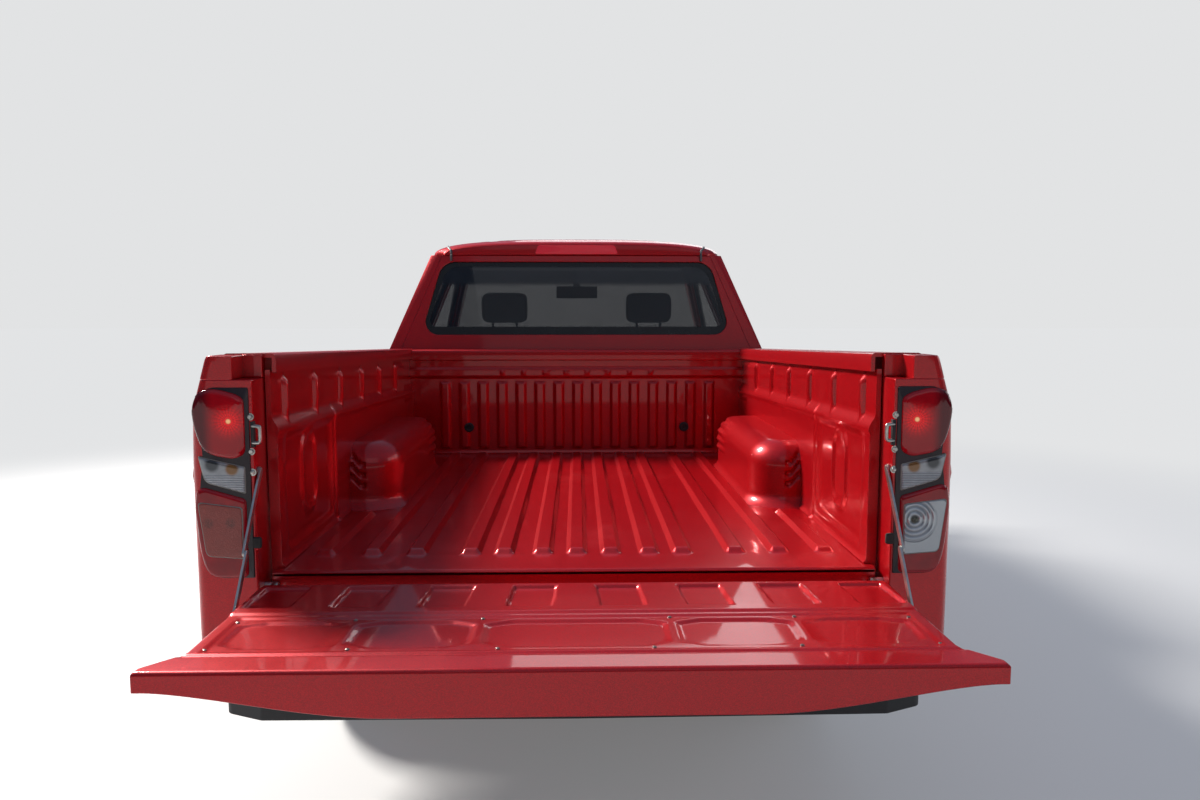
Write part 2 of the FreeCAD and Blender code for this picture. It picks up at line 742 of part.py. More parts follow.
def tailgate():
    """Pressed tailgate, lying open: raised and recessed panels, ears, a deep outer edge, hinge lugs."""
    half = size.tailgate_half_width
    deck = hinge_z + size.hinge_drop - 5
    under = deck - size.tailgate_depth
    tip = hinge_y - size.tailgate_length
    start = hinge_y - 42
    ear_start = tip + 85
    ear = half + size.tailgate_ear
    plan = [(-half + 8, start), (-half, start - 60), (-half, ear_start), (-ear, tip + 22), (-ear, tip),
            (ear, tip), (ear, tip + 22), (half, ear_start), (half, start - 60), (half - 8, start)]
    panel = carried(plan, "z", under, deck)
    lip_low = deck - size.tailgate_lip
    lip_end = deck - size.tailgate_lip_end
    lip = common(
        carried([(tip, deck), (tip, lip_low), (tip + 30, lip_low), (tip + 110, under),
                 (tip + 110, deck - 20)], "x", -ear, ear),
        carried([(-ear, deck), (-ear, lip_end), (-half + 180, lip_low), (half - 180, lip_low),
                 (ear, lip_end), (ear, deck)], "y", tip, tip + 110),
        carried(plan, "z", under - 60, deck))
    fold = carried([(start - 10, deck - 10), (start, deck - 10), (start + 32, under + 18),
                    (start + 32, under), (start - 10, under)], "x", -half + 8, half - 8)
    recesses = []
    pitch = size.tailgate_panel_pitch
    near = ((start - 125) + (start - 22)) / 2
    for index in range(-7, 8, 2):
        recesses.append(tray((index * pitch, near), (pitch / 2, 51.5), deck))
    far = ((tip + 118) + (start - 185)) / 2
    reach = ((start - 185) - (tip + 118)) / 2
    for middle, width in ((-580, 105), (-328, 117), (0, 181), (328, 117), (580, 105)):
        recesses.append(tray((middle, far), (width, reach), deck))
    pressed_panel = cut(fuse([panel, lip, fold]), together(recesses))
    side = half - 9
    pin_y, pin_z = stay_lower_pin()
    lug = fuse([block(side, half, hinge_y - 60, hinge_y, hinge_z - 14, hinge_z + 8),
                rod(8, (side, hinge_y, hinge_z), (post_inner - fit, hinge_y, hinge_z)),
                rod(5, (half - 5, pin_y, pin_z), (half + 5.5, pin_y, pin_z))])
    node("tailgate", fuse([pressed_panel, lug, mirrored(lug)]))


def tray(middle, half, deck):
    """A sunk panel of the tailgate's deck with sloping sides."""
    mouth, foot = stepped(middle, half, 7)
    return lofted([(deck + 0.01, mouth), (deck - size.tailgate_press, foot)], "z")


stay_sine = place("stay_sine", turned(size.stay_angle, "sin"))
stay_cosine = place("stay_cosine", turned(size.stay_angle, "cos"))


def stay_upper_pin():
    """Upper pivot of a stay on the corner post, as (y, z)."""
    return hinge_y - size.stay_setback, hinge_z + size.stay_height


def stay_middle_pin():
    """Pivot between the links of an open stay."""
    y, z = stay_upper_pin()
    return y - stay_sine * size.stay_upper_length, z - stay_cosine * size.stay_upper_length


def stay_lower_pin():
    """Lower pivot of an open stay on the tailgate."""
    y, z = stay_middle_pin()
    return y - stay_sine * size.stay_lower_length, z - stay_cosine * size.stay_lower_length


def link(start, end, x_low, x_high):
    """Flat bar with round ends between two pivots (y, z)."""
    half = size.stay_width * 0.35
    side_y, side_z = half * stay_cosine, half * stay_sine
    corners = [(start[0] + side_y, start[1] - side_z), (start[0] - side_y, start[1] + side_z),
               (end[0] - side_y, end[1] + side_z), (end[0] + side_y, end[1] - side_z)]
    ends = [rod(size.stay_width / 2, (x_low, y, z), (x_high, y, z)) for y, z in (start, end)]
    return fuse([carried(corners, "x", x_low, x_high)] + ends)


def stays():
    """Two-link folding stays in the slot between the tailgate's side and the corner post."""
    thick = size.stay_thickness
    near = size.tailgate_half_width + 6
    far = near + thick + 0.6
    upper_y, upper_z = stay_upper_pin()
    middle_y, middle_z = stay_middle_pin()
    upper = fuse([link(stay_upper_pin(), stay_middle_pin(), far, far + thick),
                  rod(4, (near, middle_y, middle_z), (far + 1, middle_y, middle_z)),
                  rod(5, (far + 1, upper_y, upper_z), (post_inner - fit, upper_y, upper_z))])
    lower = cut(link(stay_middle_pin(), stay_lower_pin(), near, near + thick),
                rod(4.4, (near - 1, middle_y, middle_z), (near + thick + 0.5, middle_y, middle_z)))
    sides("stay_upper", upper)
    sides("stay_lower", lower)


# Cab

front_door_front = place("front_door_front", front_axle - size.arch_radius - 100)
cowl_y = place("cowl_y", front_axle - 290)
hood_front = place("hood_front", nose - 145)
front_door_rear = place("front_door_rear", front_door_front - size.front_door_length)
access_front = place("access_front", front_door_rear - size.door_seam)
access_rear = place("access_rear", access_front - size.access_door_length)
door_low = place("door_low", size.sill_bottom + size.rocker_height)
door_high = place("door_high", size.roof_edge_height - 45)
hinge_post_outer = place("hinge_post_outer", size.body_half_width - 32 - size.fender_wall)
cabin_half = place("cabin_half", size.body_half_width - size.door_thickness - 25)
firewall_y = place("firewall_y", front_door_front - 50)
screen_foot = (front_door_front + 82, size.belt_height + 5)
screen_head = (front_door_front - 620, size.roof_edge_height)
opening_front = front_door_front + size.door_gap

FRONT_DOOR = [(front_door_rear, door_low), (front_door_front, door_low),
              (front_door_front, size.belt_height - 10),
              (front_door_front - 690, door_high), (front_door_rear, door_high)]
ACCESS_DOOR = [(access_rear, door_low), (access_front, door_low), (access_front, size.belt_height - 85),
               (access_front - 20, size.belt_height - 45), (access_front - 20, door_high),
               (access_rear + 95, door_high), (access_rear, size.belt_height)]
FRONT_WINDOW = [(front_door_rear + 38, size.belt_height + 22, 20),
                (front_door_front - 105, size.belt_height + 22, 12),
                (front_door_front - 695, door_high - 38, 30), (front_door_rear + 38, door_high - 38, 20)]
ACCESS_WINDOW = [(access_rear + 48, size.belt_height + 22, 20), (access_front - 56, size.belt_height + 22, 20),
                 (access_front - 56, door_high - 38, 20), (access_rear + 122, door_high - 38, 25)]
CAB_OUTLINE = [(cab_rear, size.sill_bottom), (opening_front, size.sill_bottom),
               (opening_front, size.belt_height - 30), screen_foot, screen_head,
               (cab_rear + size.cab_lean, size.roof_edge_height), (cab_rear, size.belt_height)]


def inner_width(z):
    """Middle to the inner face of the window frames at a height."""
    share = (z - size.belt_height) / (size.roof_edge_height - size.belt_height)
    frame = size.pillar_thickness + 16
    return (size.belt_half_width - frame
            + (size.roof_half_width - size.belt_half_width) * share)


window_low = floor_z + 530
window_high = size.roof_edge_height - 30
window_low_half = inner_width(window_low) - 62
window_high_half = inner_width(window_high) - 14
REAR_WINDOW = [(-window_low_half, window_low, 60), (window_low_half, window_low, 60),
               (window_high_half, window_high, 80), (-window_high_half, window_high, 80)]


def hood_edge(y):
    """Height of the hood's side edge and of the fender beside it."""
    belt = size.belt_height
    stations = [(front_door_front, belt - 55), (cowl_y, belt - 70), (front_axle + 320, belt - 105),
                (hood_front, belt - 195), (nose, belt - 255)]
    for (y_low, z_low), (y_high, z_high) in zip(stations, stations[1:]):
        if y <= y_high:
            break
    return z_low + (z_high - z_low) * (y - y_low) / (y_high - y_low)


def side_section(inner_low, frame_wall, clearance=0):
    """Rear-view outline of a door or pillar: body side, belt and inward-leaning window frame."""
    width = size.body_half_width + clearance
    belt = size.belt_half_width + clearance
    roof = size.roof_half_width + clearance
    belt_z = size.belt_height
    roof_z = size.roof_edge_height
    return [(width - 30, size.sill_bottom), (width - 5, 600), (width, 900), (width - 10, belt_z - 75, 60),
            (belt, belt_z), (roof, roof_z), (roof - frame_wall, roof_z), (belt - frame_wall, belt_z),
            (inner_low, belt_z - 60), (inner_low, size.sill_bottom)]


def cab_sides():
    """Rocker, pillars and roof rail round the door openings."""
    section = side_section(cabin_half, size.pillar_thickness + 16)
    ring = carried(section, "y", cab_rear - 1, screen_foot[0] + 1)
    hull = []
    for z, half, rear in ((size.sill_bottom - 1, size.body_half_width, cab_rear),
                          (size.belt_height, size.body_half_width, cab_rear),
                          (size.roof_edge_height + 1, size.roof_half_width + 26, cab_rear + size.cab_lean)):
        hull.append((z, [(300, rear - 0.5), (half + 1, rear - 0.5, size.cab_corner),
                         (half + 1, screen_foot[0] + 2), (300, screen_foot[0] + 2)]))
    ring = common(ring, carried(CAB_OUTLINE, "x", 300, 1000), lofted(hull, "z"))
    openings = [carried(grown(FRONT_DOOR, size.door_gap), "x", 300, 1000),
                carried(grown(ACCESS_DOOR, size.door_gap), "x", 300, 1000)]
    seam_rear = access_front - 22
    seam_front = front_door_rear + 1
    openings.append(block(300, 1000, seam_rear, seam_front, door_low - size.door_gap,
                          door_high + size.door_gap))
    post = block(cabin_half, hinge_post_outer, opening_front, opening_front + size.hinge_post_depth,
                 size.sill_bottom, hood_edge(opening_front) - 140)
    pair("cab_sides", fuse([cut(ring, fuse(openings)), post]))


def doors():
    """Front doors and rear-hinged access doors, each as thick as the whole door, windows cut."""
    hinges = {"front_door": (front_door_front, hinge_post_outer - 1),
              "access_door": (access_rear - size.door_gap + fit, size.body_half_width - 12)}
    for label, outline, window, thickness in (
            ("front_door", FRONT_DOOR, FRONT_WINDOW, size.door_thickness),
            ("access_door", ACCESS_DOOR, ACCESS_WINDOW, size.access_thickness)):
        low = outline[0][0] - 1
        high = outline[1][0] + 1
        section = side_section(size.body_half_width - thickness, size.pillar_thickness)
        panel = common(carried(section, "y", low, high), carried(outline, "x", 300, 1000))
        panel = cut(panel, carried(window, "x", 300, 1000))
        edge, outer = hinges[label]
        leaves = [block(outer - 45, outer, edge, edge + size.door_gap - fit, z, z + 60)
                  for z in (620, 1000)]
        sides(label, fuse([panel] + leaves))
        belt = size.belt_half_width - 16
        roof = size.roof_half_width - 16
        pane = carried([(belt, size.belt_height), (roof, size.roof_edge_height),
                        (roof - size.glass_wall, size.roof_edge_height),
                        (belt - size.glass_wall, size.belt_height)], "y", low, high)
        sides(label + "_glass", common(pane, carried(window, "x", 300, 1000)))


def cab_back():
    """Back panel of the cab, leaning forward above the belt, with the window opening."""
    belt = size.belt_height
    edge = size.roof_edge_height
    lean = cab_rear + size.cab_lean
    side_view = [(cab_rear, 500), (cab_rear + size.cab_wall, 500), (cab_rear + size.cab_wall, belt),
                 (lean + size.cab_wall, edge), (lean, edge), (cab_rear, belt)]
    rear_view = [(-cabin_half, 500), (cabin_half, 500), (cabin_half, belt - 60), (inner_width(belt), belt),
                 (inner_width(edge), edge), (-inner_width(edge), edge), (-inner_width(belt), belt),
                 (-cabin_half, belt - 60)]
    panel = common(carried(side_view, "x", -900, 900),
                   carried(rear_view, "y", cab_rear - 1, cab_rear + 400))
    node("cab_back", cut(panel, carried(REAR_WINDOW, "y", cab_rear - 1, cab_rear + 400)))


def cab_glass():
    """Windscreen and rear window."""
    belt = size.belt_height
    edge = size.roof_edge_height
    wall = size.glass_wall
    foot = cab_rear + 12
    head = foot + size.cab_lean
    pane = carried([(foot, belt), (foot + wall, belt), (head + wall, edge), (head, edge)], "x", -900, 900)
    rear = common(pane, carried(REAR_WINDOW, "y", cab_rear - 1, cab_rear + 400))
    run = Vector(screen_head[0] - screen_foot[0], screen_head[1] - screen_foot[1], 0).normalize()
    inward = Vector(-run.y, run.x, 0)
    start = (screen_foot[0] + run.x * 30 + inward.x * 10, screen_foot[1] + run.y * 30 + inward.y * 10)
    end = (screen_head[0] + inward.x * 10 - run.x * 10, screen_head[1] + inward.y * 10 - run.y * 10)
    screen_view = [start, end, (end[0] + inward.x * wall, end[1] + inward.y * wall),
                   (start[0] + inward.x * wall, start[1] + inward.y * wall)]
    half_low = inner_width(belt) - fit
    half_high = inner_width(edge) - fit
    front_view = carried([(-half_low, belt), (half_low, belt), (half_high, edge), (-half_high, edge)],
                         "y", screen_head[0] - 20, screen_foot[0] + 20)
    screen = common(carried(screen_view, "x", -900, 900), front_view)
    node("cab_glass", together([rear, screen]))


def roof_section(y, half, low, crown):
    """Crowned section of the roof at a place along the truck."""
    outline = [(-half + 4, low + 14), (half - 4, low + 14), (half, low), (-half, low)]
    return (y, outline, {0: (0, crown)})


def roof_panel():
    """Roof as a crowned shell, flat-footed on the side rails and the cab's back."""
    edge = size.roof_edge_height
    half = size.roof_half_width
    rear = cab_rear + size.cab_lean - 6
    front = screen_head[0] + 8
    height = size.roof_height
    outside = [(rear, half - 62, height - 42), (rear + 22, half - 26, height - 36),
               (rear + 66, half - 8, height - 24), (rear + 246, half, height - 8),
               (front - 358, half, height), (front, half - 4, height - 42)]
    inside = [(rear + 40, half - 66, height - 36), (rear + 246, half - 50, height - 8),
              (front - 358, half - 50, height), (front - 40, half - 54, height - 42)]
    shell = cut(lofted([roof_section(y, reach, edge, crown) for y, reach, crown in outside], "y"),
                lofted([roof_section(y, reach, edge - 1, crown - size.roof_wall)
                        for y, reach, crown in inside], "y"))
    reach = size.high_lamp_half_width + fit
    lamp = block(-reach, reach, rear - 4, rear + 51 + fit, edge - 10, edge + 46 + fit)
    node("roof_panel", cut(shell, lamp))


hood_hinge = (cowl_y + size.hood_gap + 12, hood_edge(cowl_y) - 11)


def hood():
    """Crowned hood, hinged at its rear edge."""
    half = size.hood_half_width
    crown = size.hood_crown
    wall = size.hood_wall
    stations = []
    for y, outer in ((cowl_y + size.hood_gap, half), (front_axle + 320, half), (hood_front, half - 40)):
        edge = hood_edge(y)
        outline = [(-outer, edge), (outer, edge), (outer, edge - wall), (-outer, edge - wall)]
        stations.append((y, outline, {0: (0, edge + crown), 2: (0, edge + crown - wall)}))
    y, z = hood_hinge
    pin = rod(4, (half - 8, y, z), (half + size.hood_gap - 1.1, y, z))
    node("hood", fuse([lofted(stations, "y"), pin, mirrored(pin)]))


def front_fenders():
    """Fender skins with the wheel arch, beside the hood."""
    inner = size.hood_half_width + size.hood_gap
    stations = []
    for y, narrow in ((opening_front + fit, 0), (front_axle + 320, 3), (nose - 285, 62)):
        width = size.body_half_width - narrow
        edge = hood_edge(y)
        chain = [(width - 30, size.sill_bottom), (width - 5, 600), (width, 880), (width - 14, edge - 70),
                 (width - 60, edge - 4), (inner, edge)]
        stations.append((y, thickened(chain, size.fender_wall)))
    arch = rod(size.arch_radius, (500, front_axle, wheel_z), (1000, front_axle, wheel_z))
    below = block(500, 1000, front_axle + size.arch_radius - 20, nose, 300, 640)
    pair("front_fenders", cut(lofted(stations, "y"), fuse([arch, below])))


def front_bumper():
    """Bumper bar with its lower air opening and the panels under the headlamps."""
    end = front_axle + size.arch_radius + 15
    plan = [(0, nose), (480, nose - 12), (760, nose - 75), (905, nose - 230), (930, end),
            (905, end), (870, nose - 250), (735, nose - 125), (460, nose - 75), (0, nose - 62)]
    half_bar = carried(plan, "z", 400, 640)
    bar = cut(fuse([half_bar, mirrored(half_bar)]), block(-370, 370, nose - 200, nose + 1, 455, 560))
    bracket = block(size.rail_half_gap + 5, size.rail_half_gap + 65, nose - 290 + fit, nose - 73, 460, 550)
    cheek = carried([(size.grille_half_width + 2, nose - 72), (760, nose - 145), (866, nose - 284),
                     (830, nose - 284), (735, nose - 190), (size.grille_half_width + 2, nose - 120)],
                    "z", 640, 850 - fit)
    node("front_bumper", fuse([bar, cheek, mirrored(cheek), bracket, mirrored(bracket)]))


def grille():
    """Grille frame with its slats."""
    half = size.grille_half_width
    low = 640 + fit
    high = 985
    front = nose - 68
    back = nose - 118
    frame = cut(block(-half, half, back, front, low, high),
                block(-half + 28, half - 28, back - 1, front + 1, low + 26, high - 30))
    bars = [frame]
    for share in (0.2, 0.4, 0.6, 0.8):
        z = low + 26 + (high - low - 56) * share
        bars.append(carried([(back + 8, z - 14), (front - 8, z - 20), (front - 4, z - 4),
                             (front - 8, z + 12), (back + 8, z + 8)], "x", -half + 20, half - 20))
    node("grille", fuse(bars))


def headlamps():
    """Headlamp block on each side of the grille."""
    inner = size.grille_half_width + fit
    plan = [(inner, nose - 70), (760, nose - 143), (868, nose - 282), (800, nose - 284),
            (720, nose - 205), (inner, nose - 130)]
    pair("headlamps", carried(plan, "z", 850, 965))


def cab_floor():
    """Floor pan, firewall and cowl."""
    half = cabin_half - fit
    belt = size.belt_height
    pan = block(-half, half, cab_rear + size.cab_wall + fit, firewall_y, 500, 530)
    wall = block(-half, half, firewall_y, firewall_y + 26, 500, belt - 65)
    cowl = carried([(firewall_y - 10, belt - 75), (opening_front, belt - 75), (cowl_y, belt - 133),
                    (cowl_y, belt - 89), (screen_foot[0], belt + 3), (firewall_y - 10, belt + 3)],
                   "x", -size.hood_half_width, size.hood_half_width)
    tunnel = carried([(-150, 530), (150, 530), (105, 630), (-105, 630)], "y", access_front - 150, firewall_y)
    node("cab_floor", fuse([pan, wall, cowl, tunnel]))


def dashboard():
    """Dashboard, steering column and wheel, and the inside mirror."""
    front = firewall_y - fit
    face = carried([(front, 700), (front, 1115), (front - 120, 1150, 30), (front - 330, 1120, 60),
                    (front - 350, 900, 40), (front - 250, 700)], "x", -800, 800)
    console = block(-130, 130, front - 620, front - 240, 630 + fit, 860)
    tilt = Rotation(Vector(0, 0, 1), Vector(0, -1, 0.42))
    steering = shifted(steering_wheel(), (-370, front - 470, 1045), tilt)
    mirror_z = 1590
    slope = (screen_head[0] - screen_foot[0]) / (screen_head[1] - screen_foot[1])
    screen_y = screen_foot[0] + slope * (mirror_z - screen_foot[1])
    mirror = carried([(screen_y - 130, mirror_z - 75), (screen_y - 100, mirror_z - 75),
                      (screen_y - 96, mirror_z - 5), (screen_y - 128, mirror_z - 5)], "x", -120, 120)
    stalk = carried([(screen_y - 112, mirror_z - 35), (screen_y - 100, mirror_z - 35),
                     (screen_y - 27.6, mirror_z), (screen_y - 56.2, mirror_z + 20)], "x", -22, 22)
    node("dashboard", together([fuse([face, console, steering]), fuse([mirror, stalk])]))


def steering_wheel():
    """Steering wheel with its hub and column, upright on its own zero point."""
    section = []
    for step in range(8):
        angle = math.radians(22.5 + 45 * step)
        section.append((180 + 15 * math.cos(angle), 15 * math.sin(angle)))
    rim = spun(section, (0, 0, 0), "V_Axis")
    spokes = block(-172, 172, -14, 14, -9, 9)
    hub = rod(60, (0, 0, -26), (0, 0, 20))
    column = rod(32, (0, 0, -200), (0, 0, -2))
    return fuse([rim, spokes, hub, column])


def seats():
    """Two front seats with head restraints and the small rear bench."""
    rear = access_front - 190
    cushion = carried([(rear - 10, 600), (rear + 520, 620, 30), (rear + 520, 740, 40),
                       (rear + 60, 715), (rear - 10, 715)], "x", -245, 245)
    back = carried([(rear + 30, 700), (rear + 150, 710), (rear - 60, 1340, 40),
                    (rear - 150, 1340, 40), (rear - 70, 900)], "x", -235, 235)
    rest = carried([(rear - 135, 1368), (rear - 45, 1368), (rear - 60, 1540, 30),
                    (rear - 130, 1540, 30)], "x", -125, 125)
    posts = [block(x - 7, x + 7, rear - 102, rear - 88, 1300, 1400) for x in (-60, 60)]
    base = block(-190, 190, rear + 40, rear + 440, 530, 625)
    seat = fuse([cushion, back, rest, base] + posts)
    right = shifted(seat, (size.seat_spacing / 2, 0, 0))
    wall = cab_rear + size.cab_wall + 0.5
    bench = carried([(wall, 560), (wall + 190, 560), (wall + 190, 690, 30), (wall + 85, 700),
                     (wall + 75, 1170, 30), (wall, 1170)], "x", -640, 640)
    stand = block(-600, 600, wall + 5, wall + 150, 530, 570)
    node("seats", together([right, mirrored(right), fuse([bench, stand])]))


def mirrors():
    """Door mirrors on their arms."""
    y = front_door_front - 130
    z = size.belt_height + 95
    root = size.belt_half_width - 8
    shell = carried([(root + 60, y - 45, 25), (root + 230, y - 40, 30), (root + 225, y + 30, 35),
                     (root + 90, y + 75, 40)], "z", z - 85, z + 105)
    arm = carried([(root - 2, z - 78), (root + 110, z - 66), (root + 110, z - 40), (root - 20, z - 30)],
                  "y", y - 12, y + 28)
    door_side = carried(side_section(600, size.pillar_thickness, fit), "y", y - 200, y + 200)
    sides("door_mirror", cut(fuse([shell, arm]), door_side))


# Running gear

def chassis_frame():
    """Ladder frame: two rails that rise over the axles, and cross members."""
    depth = size.rail_depth
    low = 500 - depth
    rear = wall_end + 10
    rear_low = sill_low - depth
    profile = [(rear, rear_low), (rear_axle + 350, rear_low), (rear_axle + 640, low),
               (front_axle - 480, low), (front_axle - 320, 440), (nose - 290, 440), (nose - 290, 560),
               (front_axle - 340, 560), (front_axle - 500, 500), (rear_axle + 710, 500),
               (rear_axle + 420, sill_low), (rear, sill_low)]
    rail = carried(profile, "x", size.rail_half_gap, rail_outer)
    reach = size.rail_half_gap + 5
    members = []
    for y, z_low, z_high in ((rear + 40, sill_low - 105, sill_low - 25),
                             (rear_axle - 300, sill_low - 105, sill_low - 25),
                             (rear_axle + 330, sill_low - 105, sill_low - 25),
                             (cab_rear + 577, 474, 500), (cab_rear + 1015, 474, 500),
                             (nose - 330, 460, 540)):
        members.append(block(-reach, reach, y - 40, y + 40, z_low, z_high))
    node("chassis_frame", fuse([rail, mirrored(rail)] + members))


def front_suspension():
    """Cross member, control arms and spring struts, one group on each side."""
    ball = wheel_x - size.kingpin_offset
    arms = []
    for z_low, z_high in ((245, 275), (487, 507)):
        arms.append(carried([(rail_outer - 30, front_axle - 150), (ball + 18, front_axle - 22, 16),
                             (ball + 18, front_axle + 22, 16), (rail_outer - 30, front_axle + 150)],
                            "z", z_low, z_high))
    joints = [rod(13, (ball, front_axle, 270), (ball, front_axle, 280 - fit)),
              rod(13, (ball, front_axle, 480 + fit), (ball, front_axle, 490))]
    web = block(rail_outer + fit, rail_outer + 40, front_axle - 150, front_axle + 150, 245, 507)
    rail_clear = block(0, rail_outer + fit, front_axle - 400, front_axle + 400, 440 - fit, 560 + fit)
    side = cut(fuse(arms + joints + [web]), rail_clear)
    cross = block(-rail_outer - 20, rail_outer + 20, front_axle - 60, front_axle + 60, 245, 330)
    node("front_suspension", fuse([cross, side, mirrored(side)]))


disc_inner = 22


def knuckles():
    """Steering knuckle: upright, hub, brake disc and steering arm."""
    ball = wheel_x - size.kingpin_offset
    upright = carried([(ball - 20, 280), (ball + 20, 280), (ball + 26, 375), (ball + 20, 480),
                       (ball - 20, 480)], "y", front_axle - 34, front_axle + 34)
    hub = rod(62, (ball + 5, front_axle, wheel_z), (wheel_x + disc_inner - fit, front_axle, wheel_z))
    disc = rod(size.disc_radius, (ball + 30, front_axle, wheel_z), (ball + 54, front_axle, wheel_z))
    arm = block(ball - 12, ball + 12, front_axle - 150, front_axle - 20, 318, 345)
    sides("knuckle", fuse([upright, hub, disc, arm]))


def rear_axle_unit():
    """Live axle with its differential, brake drums and leaf springs."""
    tube = rod(size.axle_tube_radius, (-wheel_x + 70, rear_axle, wheel_z), (wheel_x - 70, rear_axle, wheel_z))
    carrier = spun([(-150, 0), (-150, 45), (-95, 118), (-25, 118), (30, 45), (30, 0)],
                   (0, rear_axle, wheel_z))
    neck = rod(60, (-60, rear_axle, wheel_z), (-60, rear_axle + 200, wheel_z))
    drum = rod(size.drum_radius, (wheel_x - 75, rear_axle, wheel_z),
               (wheel_x + disc_inner - fit, rear_axle, wheel_z))
    x = size.rail_half_gap + size.rail_width / 2 + 72
    right = leaf_spring(x) + [drum]
    for y in (rear_axle - size.spring_reach, rear_axle + size.spring_reach):
        right.append(block(rail_outer + fit, x - 29, y - 18, y + 18, wheel_z + 140, wheel_z + 250))
    right.append(block(x - 40, x + 40, rear_axle - 70, rear_axle + 70, wheel_z + 20, wheel_z + 75))
    side = fuse(right)
    node("rear_axle", fuse([tube, carrier, neck, side, mirrored(side)]))


def leaf_spring(x):
    """Leaf pack: shorter leaves under a long curved one, with an eye at each end."""
    low = wheel_z + 60
    lift = 95
    pieces = []
    for index, share in enumerate((1, 0.75, 0.5)):
        z = low - 11 * index
        reach = size.spring_reach * share
        end = z + lift * share * share
        pieces.append(carried([(rear_axle - reach, end - 11), (rear_axle + reach, end - 11),
                               (rear_axle + reach, end), (rear_axle - reach, end)], "x", x - 30, x + 30,
                              {0: (rear_axle, z - 11), 2: (rear_axle, z)}))
    for y in (rear_axle - size.spring_reach, rear_axle + size.spring_reach):
        pieces.append(rod(22, (x - 30, y, low + lift - 6), (x + 30, y, low + lift - 6)))
    return pieces


def propeller_shaft():
    """Shaft from the gearbox to the axle."""
    gearbox = cab_rear + 1125
    start = (-60, rear_axle + 225, wheel_z)
    end = (0, gearbox - 25, 430)
    node("propeller_shaft", fuse([
        rod(34, start, end),
        rod(40, (-60, rear_axle + 200 + fit, wheel_z), (-60, rear_axle + 245, wheel_z)),
        rod(40, (0, gearbox - 45, 430), (0, gearbox - fit, 430))]))


def exhaust():
    """Silencer and tail pipe on the right-hand side, inside the rail."""
    x = 290
    silencer = rod(85, (x, cab_rear + 665, 385), (x, cab_rear + 1235, 385))
    pipe = rod(28, (x, cab_rear - 285, 385), (x, cab_rear + 1415, 385))
    hangers = [block(x - 5, x + 5, cab_rear + ahead, cab_rear + ahead + 14, low, 500 - fit)
               for ahead, low in ((135, 400), (895, 460))]
    node("exhaust", fuse([silencer, pipe] + hangers))


def fuel_tank():
    """Tank beside the left-hand rail, under the cab."""
    outer = -size.rail_half_gap + fit
    node("fuel_tank", carried([(outer, 372, 20), (-120, 360, 40), (-120, 490, 30), (outer, 490, 12)],
                              "y", cab_rear - 5, cab_rear + 535))


def spare_wheel():
    """Spare wheel, lying under the rear of the bed between the rails."""
    middle = wall_end + 470
    low = sill_low - 105 - fit - 215
    tyre = rod(size.tyre_radius - 3, (0, middle, low), (0, middle, low + 215))
    hollows = together([rod(size.rim_radius - 14, (0, middle, low - 1), (0, middle, low + 69)),
                        rod(size.rim_radius - 14, (0, middle, low + 146), (0, middle, low + 216))])
    node("spare_wheel", cut(tyre, hollows))


def engine_block():
    """Engine and gearbox as one plain block."""
    back = front_axle - 330
    engine = block(-270, 270, back, front_axle + 330, 420, 1010)
    gearbox = block(-170, 170, cab_rear + 1125, back + 1, 400, 495)
    clutch = block(-200, 200, front_axle - 470, back + 1, 400, 700)
    arm = block(269, size.rail_half_gap - fit, front_axle + 90, front_axle + 160, 470, 530)
    node("engine_block", fuse([engine, gearbox, clutch, arm, mirrored(arm)]))


def rear_bumper():
    """Low rear bumper bar with a step at its middle."""
    front = wall_end - 40
    half = size.rear_bumper_half_width
    plan = [(0, wall_end - 140), (half - 106, wall_end - 132, 20), (half - 12, wall_end - 90, 30),
            (half, front), (0, front)]
    bar = carried(plan, "z", bumper_top - 130, bumper_top)
    bracket = block(size.rail_half_gap + 5, size.rail_half_gap + 65, front - 1, wall_end + 90,
                    530, sill_low - size.rail_depth - fit)
    node("rear_bumper", fuse([bar, mirrored(bar), bracket, mirrored(bracket)]))


# Wheels

def tyre_outline():
    """Section of a tyre, as (x from the wheel's middle, radius)."""
    half = size.tyre_width / 2
    outer = size.tyre_radius
    rim = size.rim_radius
    return [(-half + 26, rim - 16), (half - 26, rim - 16), (half, rim + 60), (half - 16, outer - 22),
            (half - 42, outer), (-half + 42, outer), (-half + 16, outer - 22), (-half, rim + 60)]


def rim_outline():
    """Section of a rim and its disc, as (x from the wheel's middle, radius)."""
    half = size.tyre_width / 2
    rim = size.rim_radius
    bead = rim - 16 - fit
    return [(-half + 14, rim), (-half + 24, bead), (half - 24, bead), (half - 14, rim), (half - 8, rim - 8),
            (half - 62, rim - 46), (disc_inner + 30, 64), (disc_inner + 30, 0), (disc_inner, 0),
            (disc_inner, 92), (half - 80, rim - 58), (half - 80, bead - 14), (-half + 18, bead - 10)]


